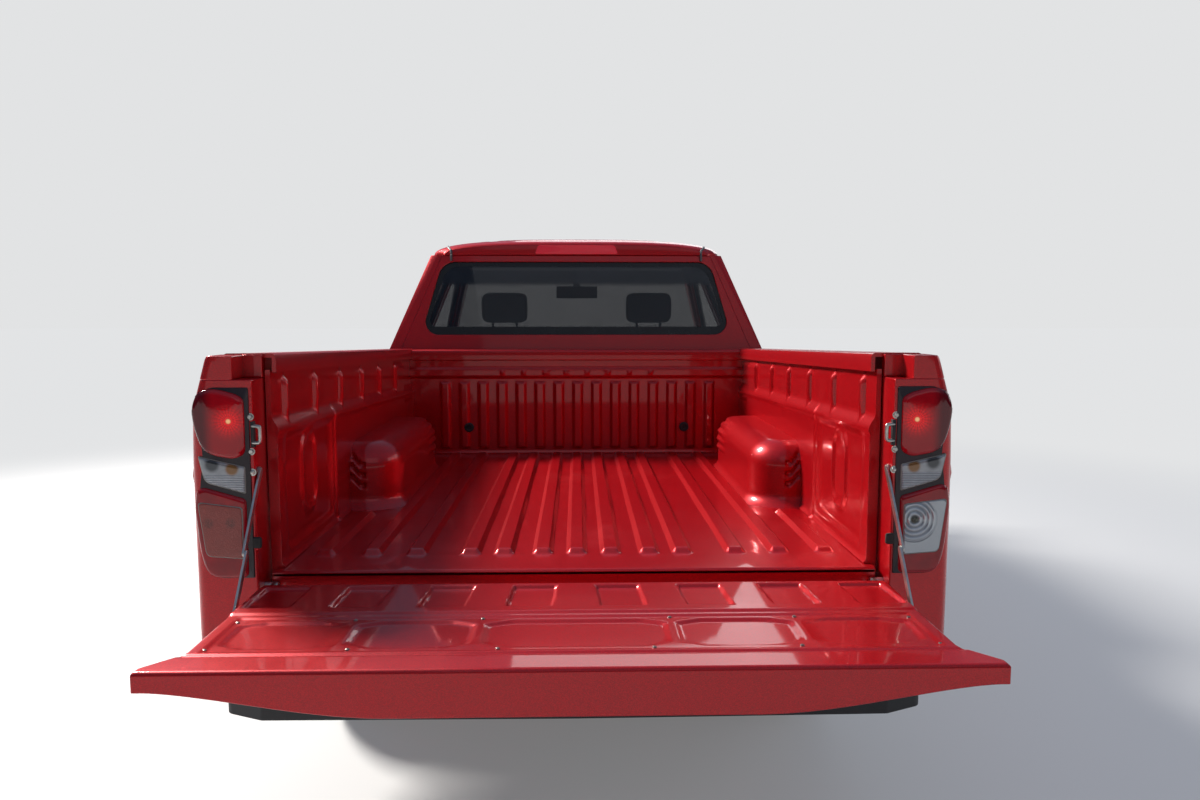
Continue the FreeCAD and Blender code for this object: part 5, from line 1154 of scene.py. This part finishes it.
def swell(thing, cap, voxel=0.016):
    """Puffs a closed form as a filled cover: an even mesh, a pressed cloth over twenty frames, each point
    moved by cap at most, and one subdivision."""
    scene = bpy.context.scene
    remesh = thing.modifiers.new("even_mesh", "REMESH")
    remesh.mode = "VOXEL"
    remesh.voxel_size = voxel
    thing.data = bpy.data.meshes.new_from_object(thing.evaluated_get(bpy.context.evaluated_depsgraph_get()))
    thing.modifiers.clear()
    start = np.empty(len(thing.data.vertices) * 3)
    thing.data.vertices.foreach_get("co", start)
    cloth = thing.modifiers.new("filling", "CLOTH")
    cloth.settings.use_pressure = True
    cloth.settings.uniform_pressure_force = 4.0
    cloth.settings.effector_weights.gravity = 0.0
    for frame_number in range(1, 21):
        scene.frame_set(frame_number)
    settled = thing.evaluated_get(bpy.context.evaluated_depsgraph_get()).data
    moved = np.empty_like(start)
    settled.vertices.foreach_get("co", moved)
    shift = (moved - start).reshape(-1, 3)
    reach = np.linalg.norm(shift, axis=1, keepdims=True) + 1e-9
    shift *= np.minimum(1, cap / reach)
    thing.modifiers.clear()
    scene.frame_set(1)
    thing.data.vertices.foreach_set("co", start + shift.ravel())
    thing.data.polygons.foreach_set("use_smooth", np.ones(len(thing.data.polygons), bool))
    finer = thing.modifiers.new("finer", "SUBSURF")
    finer.levels = finer.render_levels = 1


def pad(name, low, high, edge, lean=0.0, cap=0.010):
    """A cushion between two corners, sheared rearwards by lean over its height."""
    points, quads, triangles = block(low, high, edge)
    points = points.copy()
    points[:, 1] += lean * (points[:, 2] - low[2])
    thing = piece(name, [(points, quads, triangles)], CLOTH)
    swell(thing, cap)


def seats():
    """Two front seats with head restraints on posts, and the small bench behind them."""
    frames = []
    for side, label in ((1, "right"), (-1, "left")):
        x = side * 0.365
        pad("seat_cushion_" + label, (x - 0.236, 0.190, 0.622), (x + 0.236, 0.694, 0.728), 0.040)
        pad("seat_back_" + label, (x - 0.222, 0.232, 0.730), (x + 0.222, 0.322, 1.328), 0.040, -0.295)
        pad("head_rest_" + label, (x - 0.117, 0.072, 1.378), (x + 0.117, 0.130, 1.530), 0.028, -0.06,
            0.006)
        frames.append(block((x - 0.19, 0.226, 0.531), (x + 0.19, 0.626, 0.618), 0.012))
        for post in (-0.06, 0.06):
            frames.append(pipe([(x + post, 0.098, 1.28), (x + post, 0.094, 1.42)], 0.0065, 10))
    pad("bench_cushion", (-0.632, -0.370, 0.572), (0.632, -0.198, 0.682), 0.035)
    pad("bench_back", (-0.632, -0.371, 0.705), (0.632, -0.306, 1.160), 0.028)
    frames.append(block((-0.60, -0.3745, 0.531), (0.60, -0.230, 0.569), 0.008))
    piece("seat_frames", frames, DARK_TRIM, replaces=["seats"])


seats()


# Tyres

def tyre(centre, label):
    """Tyre: the section carried round its axle, with three grooves round the tread, slanting cuts between
    its blocks, and a ring and fine ribs on the sidewalls."""
    half, outer, bead = 0.1225, 0.375, 0.200
    section = bent([(-half + 0.026, bead), (half - 0.026, bead), (half, 0.276, 0.03),
                    (half - 0.014, 0.352, 0.02), (half - 0.030, outer, 0.012), (-half + 0.030, outer, 0.012),
                    (-half + 0.014, 0.352, 0.02), (-half, 0.276, 0.03)], 6)
    dense = []
    for a, b in zip(section, np.roll(section, -1, axis=0)):
        dense.append(np.linspace(a, b, max(2, int(np.linalg.norm(b - a) / 0.009) + 1), endpoint=False))
    dense = np.concatenate(dense)
    angle = np.linspace(0, 2 * math.pi, 180, endpoint=False)[:, None]
    x, radius = dense[None, :, 0], dense[None, :, 1]
    tread = step(radius, 0.366, 0.373)
    groove = sum(rib(x, place, 0.006, 0.012) for place in (-0.045, 0.0, 0.045))
    wave = angle * 36 + x * 50 * np.sign(x)
    cuts = rib(np.mod(wave, 2 * math.pi) - math.pi, 0, 0.5, 1.1) * (1 - rib(x, 0, 0.03, 0.036))
    shoulder = rib(radius, 0.352, 0.012, 0.024) * rib(np.mod(wave, 2 * math.pi) - math.pi, 0, 0.5, 1.1)
    radius = radius - 0.008 * np.maximum(groove, cuts * 0.8) * tread - 0.003 * shoulder
    ring = rib(dense[None, :, 1], 0.300, 0.004, 0.010) * np.sign(x) * (np.abs(x) > 0.08)
    x = x - 0.002 * ring + 0 * angle
    rings = np.stack([centre[0] + x, centre[1] + radius * np.cos(angle), centre[2] + radius * np.sin(angle)],
                     -1)
    piece("tyre_tread_" + label, [tube(rings, loop=True)], RUBBER, "wheel_" + label,
          ["tyre_" + label])


def wheel_trim(centre, label, side):
    """Wheel nuts and the hub's cap, on the outer side of a rim."""
    nuts = []
    for k in range(6):
        turn = (k + 0.5) * math.pi / 3
        place = (centre[0] + side * 0.052, centre[1] + 0.060 * math.cos(turn),
                 centre[2] + 0.060 * math.sin(turn))
        nuts += hexagon(place, (side, 0, 0), 0.0095, 0.016)
    piece("wheel_nuts_" + label, nuts, ZINC, "wheel_" + label)
    cap = lathe([(0.0, 0.036), (0.020, 0.036), (0.028, 0.030), (0.030, 0.012)],
                (centre[0] + side * 0.050, centre[1], centre[2]), (side, 0, 0), 36)
    piece("hub_cap_" + label, [cap], DARK_TRIM, "wheel_" + label)


for axle, end in ((FRONT_AXLE, "front"), (REAR_AXLE, "rear")):
    for hand, word in ((1, "right"), (-1, "left")):
        tyre((hand * WHEEL_X, axle, WHEEL_Z), end + "_" + word)
        wheel_trim((hand * WHEEL_X, axle, WHEEL_Z), end + "_" + word, hand)


# Doors and side trim

# Heights up the cab's side, and its half width at each
SIDE_PROFILE = ([0.43, 0.60, 0.90, 1.06, 1.12, 1.195, 1.69],
                [0.905, 0.930, 0.935, 0.9285, 0.918, 0.875, 0.665])
FRONT_WINDOW = [(0.424, 1.217, 0.020), (1.345, 1.217, 0.012), (0.755, 1.607, 0.030), (0.424, 1.607, 0.020)]
ACCESS_WINDOW = [(-0.006, 1.217, 0.020), (0.320, 1.217, 0.020), (0.320, 1.607, 0.020), (0.068, 1.607, 0.025)]


def side_x(z):
    """Half width of the cab's side at a height."""
    return np.interp(z, *SIDE_PROFILE)


def door_trim(side, word):
    """Window rubbers, handle with its cup and lock, and the mirror's glass, of one side."""
    def face(y, z):
        return side * (side_x(z) + 0.0022), y, z

    def back(y, z):
        return side * (side_x(z) - 0.024), y, z

    for name, window in (("front", FRONT_WINDOW), ("access", ACCESS_WINDOW)):
        rubber = border(bent(grown(window, 0.006), 8), bent(grown(window, -0.011), 8), face, back)
        piece(name + "_door_window_rubber_" + word, [rubber], RUBBER, name + "_door_" + word)
    x = side_x(1.02)
    line = curve([(x - 0.006, 0.440, 1.02), (x + 0.018, 0.452, 1.02), (x + 0.027, 0.500, 1.021),
                  (x + 0.027, 0.560, 1.021), (x + 0.018, 0.604, 1.02), (x - 0.006, 0.616, 1.02)], 40)
    parts = [pipe(line, 0.0105, 14),
             bar(box_outline(0.462, 0.594, 0.990, 1.045, 0.020), "x", x - 0.003, x + 0.0015, 0.001)]
    if side < 0:
        parts = [mirrored(part) for part in parts]
    piece("door_handle_" + word, parts, BLACK, "front_door_" + word)
    glass = block((side * 1.013 - 0.068, 1.2705, 1.224), (side * 1.013 + 0.068, 1.2765, 1.376), 0.003)
    piece("mirror_glass_" + word, [glass], CHROME, "front_door_" + word)


door_trim(1, "right")
door_trim(-1, "left")


def body_trim():
    """The fuel filler's flap, and the wipers."""
    flap = bar(box_outline(-1.92, -1.76, 0.985, 1.135, 0.022), "x", -0.9375, -0.928, 0.0015)
    gap = bar(box_outline(-1.9235, -1.7565, 0.9815, 1.1385, 0.024), "x", -0.9358, -0.926, 0.0005)
    piece("fuel_flap", [flap], RED)
    piece("fuel_flap_gap", [gap], RUBBER)
    blades = []
    for x, reach in ((-0.50, 0.60), (0.10, 0.52)):
        foot = np.array([x, 1.600, 1.178])
        tip = np.array([x + reach, 1.478, 1.262])
        arm = curve([foot, foot * 0.5 + tip * 0.5 + (0, 0.006, 0.014), tip + (-0.25, 0.03, -0.012)], 20)
        blade = [tip + (-0.50, 0.016, -0.020), tip + (-0.25, 0.015, -0.016), tip + (0, 0.010, -0.014)]
        blades += [pipe(arm, 0.006, 8), pipe(blade, 0.0065, 8)]
    piece("wipers", blades, BLACK)


body_trim()


# Front end

EDGE_LINE = curve([(1.450, 1.140), (1.690, 1.1255), (2.000, 1.110), (2.300, 1.089), (2.520, 1.047),
                   (2.742, 1.000)], 60)


def hood_edge(y):
    """Height of the hood's side edge along the truck."""
    return np.interp(y, EDGE_LINE[:, 0], EDGE_LINE[:, 1])


def hood_half(y):
    return np.interp(y, [1.698, 2.20, 2.34, 2.50, 2.742], [0.727, 0.727, 0.723, 0.711, 0.687])


def hood_panel():
    """Hood: a crown over its two edges, with a raised middle between two swages and a rolled border."""
    y = spaced(1.700, 2.742, 0.03, (1.705, 2.735), 0.02, 0.004)[:, None]
    u = spaced(-1.0, 1.0, 0.03, (-0.99, -0.62, 0.62, 0.99), 0.06, 0.008)[None, :]
    x = u * hood_half(y)
    border = np.minimum((1 - np.abs(u)) * 0.72, np.minimum(y - 1.700, 2.742 - y)) / 0.012
    raised = 0.007 * (1 - step(np.abs(u), 0.58, 0.68)) * step(y, 1.72, 1.95) * (1 - step(y, 2.60, 2.74))
    z = hood_edge(y) + 0.036 * (1 - np.abs(u) ** 2.3) + raised - 0.007 * np.clip(1 - border, 0, 1) ** 2
    y = y + 0 * u
    front = np.stack([x, y, z], -1)
    piece("hood_pressing", [plate(front, front - (0, 0, 0.012))], RED, "hood", ["hood"])


def fender():
    """Front fender: a rounded chain from the hood's edge down the side, cut by the wheel arch, whose edge
    stands out and turns in."""
    foot = math.sqrt(ARCH ** 2 - (0.43 - WHEEL_Z) ** 2)
    ys = spaced(1.457, 2.600, 0.03, (FRONT_AXLE - foot, FRONT_AXLE + foot, 2.388), 0.03, 0.006)
    low = np.where(ys > 2.388, 0.643, arch_edge(ys, FRONT_AXLE, 0.432))
    rows = []
    for y, bottom in zip(ys, low):
        width = np.interp(y, [1.457, 2.10, 2.30, 2.42, 2.52, 2.60],
                          [0.935, 0.9345, 0.930, 0.914, 0.895, 0.872])
        edge = hood_edge(y)
        upper = bent([(hood_half(y) + 0.008, edge, 0), (width - 0.056, edge - 0.006, 0.050),
                      (width - 0.012, edge - 0.080, 0.045), (width, 0.900, 0)], 12)
        z = np.linspace(0.900, max(bottom, 0.432), 40)[1:]
        x = width - np.interp(z, [0.43, 0.60, 0.90], [0.030, 0.005, 0.0])
        reach = np.clip(np.hypot(y - FRONT_AXLE, z - WHEEL_Z) - ARCH, 0, None)
        x = x + 0.008 * np.exp(-(reach / 0.030) ** 2) * (z < 0.85) * (width > 0.92)
        rows.append(np.concatenate([upper, np.stack([np.minimum(x, 0.9375), z], -1)]))
    chain = np.array(rows)
    front = np.stack([chain[..., 0], np.broadcast_to(ys[:, None], chain.shape[:2]), chain[..., 1]], -1)
    way = np.gradient(chain, axis=1)
    normal = np.stack([way[..., 1], -way[..., 0]], -1)
    normal /= np.linalg.norm(normal, axis=-1, keepdims=True) + 1e-9
    back = front + np.stack([normal[..., 0], 0 * normal[..., 0], normal[..., 1]], -1) * 0.008
    return plate(front, back)


def nose_panel():
    """Panel over the lamps and the grille: it rises from its lower line and turns flat at the hood's edge."""
    lower = curve([(0, 2.812, 0.9875), (0.30, 2.812, 0.9875), (0.430, 2.811, 0.987), (0.475, 2.801, 0.968),
                   (0.60, 2.776, 0.968), (0.752, 2.737, 0.968), (0.820, 2.680, 0.968),
                   (0.866, 2.606, 0.968)], 90)
    upper = curve([(0, 2.748, 1.026), (0.28, 2.748, 1.021), (0.42, 2.748, 1.012), (0.50, 2.748, 1.006),
                   (0.60, 2.748, 0.999), (0.697, 2.746, 0.995), (0.705, 2.68, 1.012),
                   (0.7145, 2.604, 1.0275)], 90)
    rise = np.linspace(0, math.pi / 2, 12)[None, :, None]
    share = np.concatenate([1 - np.cos(rise), 1 - np.cos(rise), np.sin(rise)], -1)
    front = lower[:, None] + (upper - lower)[:, None] * share
    back = front - (0, 0.006, 0.004)
    return plate(front, back)


BUMPER_LINE = [(0, 2.883), (0.30, 2.880), (0.480, 2.870), (0.66, 2.842), (0.780, 2.797), (0.870, 2.715),
               (0.912, 2.62), (0.928, 2.52), (0.929, 2.427)]
CHEEK_LINE = [(0.4405, 2.8125), (0.60, 2.780), (0.755, 2.7385), (0.822, 2.683), (0.8655, 2.603)]


def wall_along(line, low, high, inset, thick, count=90, opening=None):
    """An upright skin over a line in plan; inset gives how far it lies in at a share of its height, and the
    opening (x, low, high) is left out."""
    points = curve(line, count)
    way = np.gradient(points, axis=0)
    way /= np.linalg.norm(way, axis=1, keepdims=True)
    inward = np.stack([way[:, 1], -way[:, 0]], -1)
    rows = spaced(low, high, 0.008, (), 0.01)
    share = (rows - low) / (high - low)
    depth = inset(share)
    grids = []
    for more in (0.0, thick):
        plan = points[:, None] + inward[:, None] * (depth + more)[None, :, None]
        grids.append(np.concatenate([plan, np.broadcast_to(rows[None, :, None], (*plan.shape[:2], 1))], -1))
    keep = None
    if opening:
        x = (grids[0][1:, 1:, 0] + grids[0][:-1, :-1, 0]) / 2
        z = (rows[1:] + rows[:-1])[None, :] / 2
        keep = ~((x < opening[0]) & (z > opening[1]) & (z < opening[2]))
    return plate(*grids, keep)


def front_bumper():
    """Bumper skin with its opening, black sill and fog lamps, the panels under the headlamps, and the dark
    meshes behind the grille and the opening."""
    def bumper_inset(share):
        ledge = step(share, 0.70, 0.76) * (1 - step(share, 0.9, 1.0))
        return 0.016 * np.abs(2 * share - 1) ** 5 + 0.006 * ledge

    def cheek_inset(share):
        return 0.003 * np.exp(-((share - 0.45) / 0.05) ** 2)

    skin = [wall_along(BUMPER_LINE, 0.446, 0.639, bumper_inset, 0.012, opening=(0.368, 0.470, 0.560)),
            wall_along(CHEEK_LINE, 0.6405, 0.8485, cheek_inset, 0.010, 60), nose_panel(), fender()]
    ledge = np.array(BUMPER_LINE)
    inner = curve(np.concatenate([ledge[:5] - (0, 0.080), ledge[5:] - (0.055, 0.01)]), 120)
    outer = curve(ledge - (0, 0.004), 120)
    top = np.stack([np.concatenate([outer, np.full((120, 1), 0.637)], 1),
                    np.concatenate([inner, np.full((120, 1), 0.6385)], 1)], 1)
    skin.append(plate(top, top - (0, 0, 0.006)))
    piece("front_bumper_skin", both(skin), RED, replaces=["front_bumper", "front_fenders"])
    sill = [wall_along([(x, y - 0.004) for x, y in BUMPER_LINE], 0.4005, 0.4455,
                       lambda share: 0.010 * (1 - share) ** 2, 0.016),
            bar(box_outline(-0.0001, 0.372, 0.452, 0.472, 0.004), "y", 2.845, 2.876, 0.002),
            block((-0.0001, 2.790, 0.440), (0.420, 2.800, 0.600), 0.002)]
    bars = [bar(box_outline(2.804, 2.862, z, z + 0.010, 0.004), "x", -0.0001, 0.366)
            for z in (0.492, 0.516, 0.540)]
    piece("bumper_sill", both(sill + bars), BLACK)
    piece("radiator_mesh", [block((-0.432, 2.752, 0.648), (0.432, 2.765, 0.975), 0.002)], BLACK)
    aim = (0.30, 1, 0)
    profile = [(0.0, 0.056), (0.006, 0.056), (0.010, 0.050), (0.010, 0.043), (-0.004, 0.040),
               (-0.004, 0.050)]
    bezel = lathe(profile, (0.642, 2.850, 0.532), aim, 40, loop=True)
    piece("fog_lamp_bezels", both([bezel]), BLACK)
    profile = [(0.0, 0.042), (0.004, 0.040), (0.007, 0.024), (0.008, 0.006)]
    glass = lathe(profile, (0.642, 2.849, 0.532), aim, 36)
    piece("fog_lamp_lenses", both([glass]), SILVER_BOWL)
    trims = [bar(box_outline(-0.402, 0.402, 0.9560, 0.9660, 0.003), "y", 2.806, 2.8185, 0.002),
             bar(box_outline(-0.402, 0.402, 0.6680, 0.6760, 0.003), "y", 2.806, 2.8185, 0.002)]
    piece("grille_trims", trims, CHROME)


hood_panel()
front_bumper()


# Front lamps

def front_lamps():
    """Headlamps: a clear lens wrapped round the corner over two bright bowls in a dark box."""
    line = curve([(0.4395, 2.8145), (0.60, 2.782), (0.755, 2.7405), (0.822, 2.684), (0.866, 2.604)], 26)
    way = np.gradient(line, axis=0)
    way /= np.linalg.norm(way, axis=1, keepdims=True)
    inward = np.stack([way[:, 1], -way[:, 0]], -1)
    if inward[0, 1] > 0:
        inward = -inward

    def swept(low, high, near, far, edge):
        section = box_outline(near, far, low, high, edge)
        return tube(np.array([np.concatenate([p + n * section[:, :1], section[:, 1:]], axis=1)
                              for p, n in zip(line, inward)]))

    piece("headlamp_boxes", both([swept(0.853, 0.962, 0.046, 0.074, 0.003)]), BLACK,
          replaces=["headlamps"])
    piece("headlamp_lenses", both([swept(0.8515, 0.9635, 0.0, 0.010, 0.004)]), CLEAR_LENS)
    bowls = []
    for x, y, size in ((0.530, 2.752, 0.046), (0.655, 2.724, 0.044), (0.768, 2.676, 0.034)):
        profile = [(0.0, size * 0.25), (0.006, size * 0.6), (0.022, size), (0.025, size), (0.010, size * 0.7),
                   (-0.004, size * 0.25)]
        bowls.append(lathe(profile, (x, y, 0.908), (0.18, 1, 0), 40, loop=True))
        bowls.append(lathe([(0.0, 0.004), (0.012, 0.012), (0.020, 0.010), (0.024, 0.003)],
                           (x, y, 0.908), (0.18, 1, 0), 20))
    piece("headlamp_bowls", both(bowls), SILVER_BOWL)


front_lamps()


# Finishes of the CAD nodes that stay

NODE_FINISHES = [
    (RED, 0.003, ["cab_sides", "cab_back", "front_door_left", "front_door_right", "access_door_left",
                  "access_door_right"]),
    (BLACK, 0.002, ["grille"]),
    (BLACK, 0.010, ["rear_bumper", "door_mirror_left", "door_mirror_right"]),
    (GLASS, 0, ["cab_glass", "front_door_glass_left", "front_door_glass_right", "access_door_glass_left",
                "access_door_glass_right"]),
    (DARK_TRIM, 0.006, ["dashboard"]),
    (CARPET, 0.003, ["cab_floor"]),
    (FRAME, 0.004, ["chassis_frame", "rear_axle", "propeller_shaft", "fuel_tank", "spare_wheel"]),
    (CAST, 0.004, ["front_suspension", "engine_block", "knuckle_left", "knuckle_right"]),
    (ZINC, 0.002, ["exhaust"]),
    (WHEEL, 0.0015, ["rim_front_left", "rim_front_right", "rim_rear_left", "rim_rear_right"]),
]


def dress_nodes():
    """Gives each CAD node its finish, and rounds its crisp edges."""
    for material, width, names in NODE_FINISHES:
        for name in names:
            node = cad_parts[name]
            node.data.materials.clear()
            node.data.materials.append(material)
            if width:
                weld = node.modifiers.new("joined_corners", "WELD")
                weld.merge_threshold = 0.00005
                soften(node, width)
                even = node.modifiers.new("even_shading", "WEIGHTED_NORMAL")
                even.weight = 100
                even.keep_sharp = True


dress_nodes()


# Camera, lights and floor

def area_light(name, place, target, size, energy, colour=(1, 1, 1)):
    light = bpy.data.lights.new(name, "AREA")
    light.shape = "RECTANGLE"
    light.size, light.size_y = size
    light.energy = energy
    light.color = colour
    thing = bpy.data.objects.new(name, light)
    thing.location = place
    thing.rotation_mode = "QUATERNION"
    thing.rotation_quaternion = (Vector(target) - Vector(place)).to_track_quat("-Z", "Y")
    bpy.context.scene.collection.objects.link(thing)


BACKDROP = rgb(226, 227, 228)


def studio_floor(link):
    """Plain floor: lit round the truck, and melting into the backdrop's colour further out."""
    x, y, z = link.place()
    far = (x * x + y * y).math("SQRT").ramp(3.2, 7.5)
    return {"Base Color": far.mixed(rgb(188, 188, 187), rgb(4, 4, 4)), "Roughness": 0.95,
            "Specular IOR Level": 0.1, "Emission Color": far.mixed(rgb(112, 112, 112), BACKDROP),
            "Emission Strength": 1.0}


def studio():
    """Pale floor, a soft even sky, one broad key light from the left ahead and two fills."""
    scene = bpy.context.scene
    camera = bpy.data.cameras.new("camera")
    camera.sensor_width = 36.0
    camera.lens = 26.5
    camera.clip_end = 200.0
    thing = bpy.data.objects.new("camera", camera)
    thing.location = (0.004, -4.416, 1.426)
    thing.rotation_euler = (math.radians(90 - 5.6), 0, math.radians(-1.45))
    scene.collection.objects.link(thing)
    scene.camera = thing
    ground = bpy.data.meshes.new("studio_floor")
    ground.from_pydata([(-80, -80, 0), (80, -80, 0), (80, 80, 0), (-80, 80, 0)], [], [(0, 1, 2, 3)])
    floor = bpy.data.objects.new("studio_floor", ground)
    scene.collection.objects.link(floor)
    ground.materials.append(finish("studio_floor", studio_floor))
    world = bpy.data.worlds.new("studio")
    world.use_nodes = True
    tree = world.node_tree
    tree.nodes.clear()
    link = Link(tree)
    ray = link.make("ShaderNodeLightPath", output="Is Camera Ray")
    way = link.make("ShaderNodeTexCoord", output="Generated")
    height = link.make("ShaderNodeSeparateXYZ", None, {"Vector": way}, 2)
    sky = height.ramp(-0.1, 0.8).mixed(rgb(50, 52, 57), rgb(124, 140, 168))
    shown = ray.mixed(sky, BACKDROP)
    light = link.make("ShaderNodeBackground", None, {"Color": shown, "Strength": 1.0})
    output = tree.nodes.new("ShaderNodeOutputWorld")
    tree.links.new(light.socket, output.inputs["Surface"])
    scene.world = world
    scene.view_settings.view_transform = "Standard"
    area_light("key", (-5.5, 2.0, 6.5), (0.2, -1.4, 0.8), (1.8, 1.8), 1700, (1.0, 0.96, 0.91))
    area_light("fill_rear", (1.5, -8.0, 4.5), (0, -1.5, 0.8), (6, 3), 18, (0.94, 0.97, 1.0))
    area_light("fill_front", (2.0, 8.5, 4.5), (0, 1.0, 0.8), (6, 3), 120)
    area_light("side_right", (8.0, 0.5, 3.5), (0, 0, 0.8), (8, 3), 90)


studio()
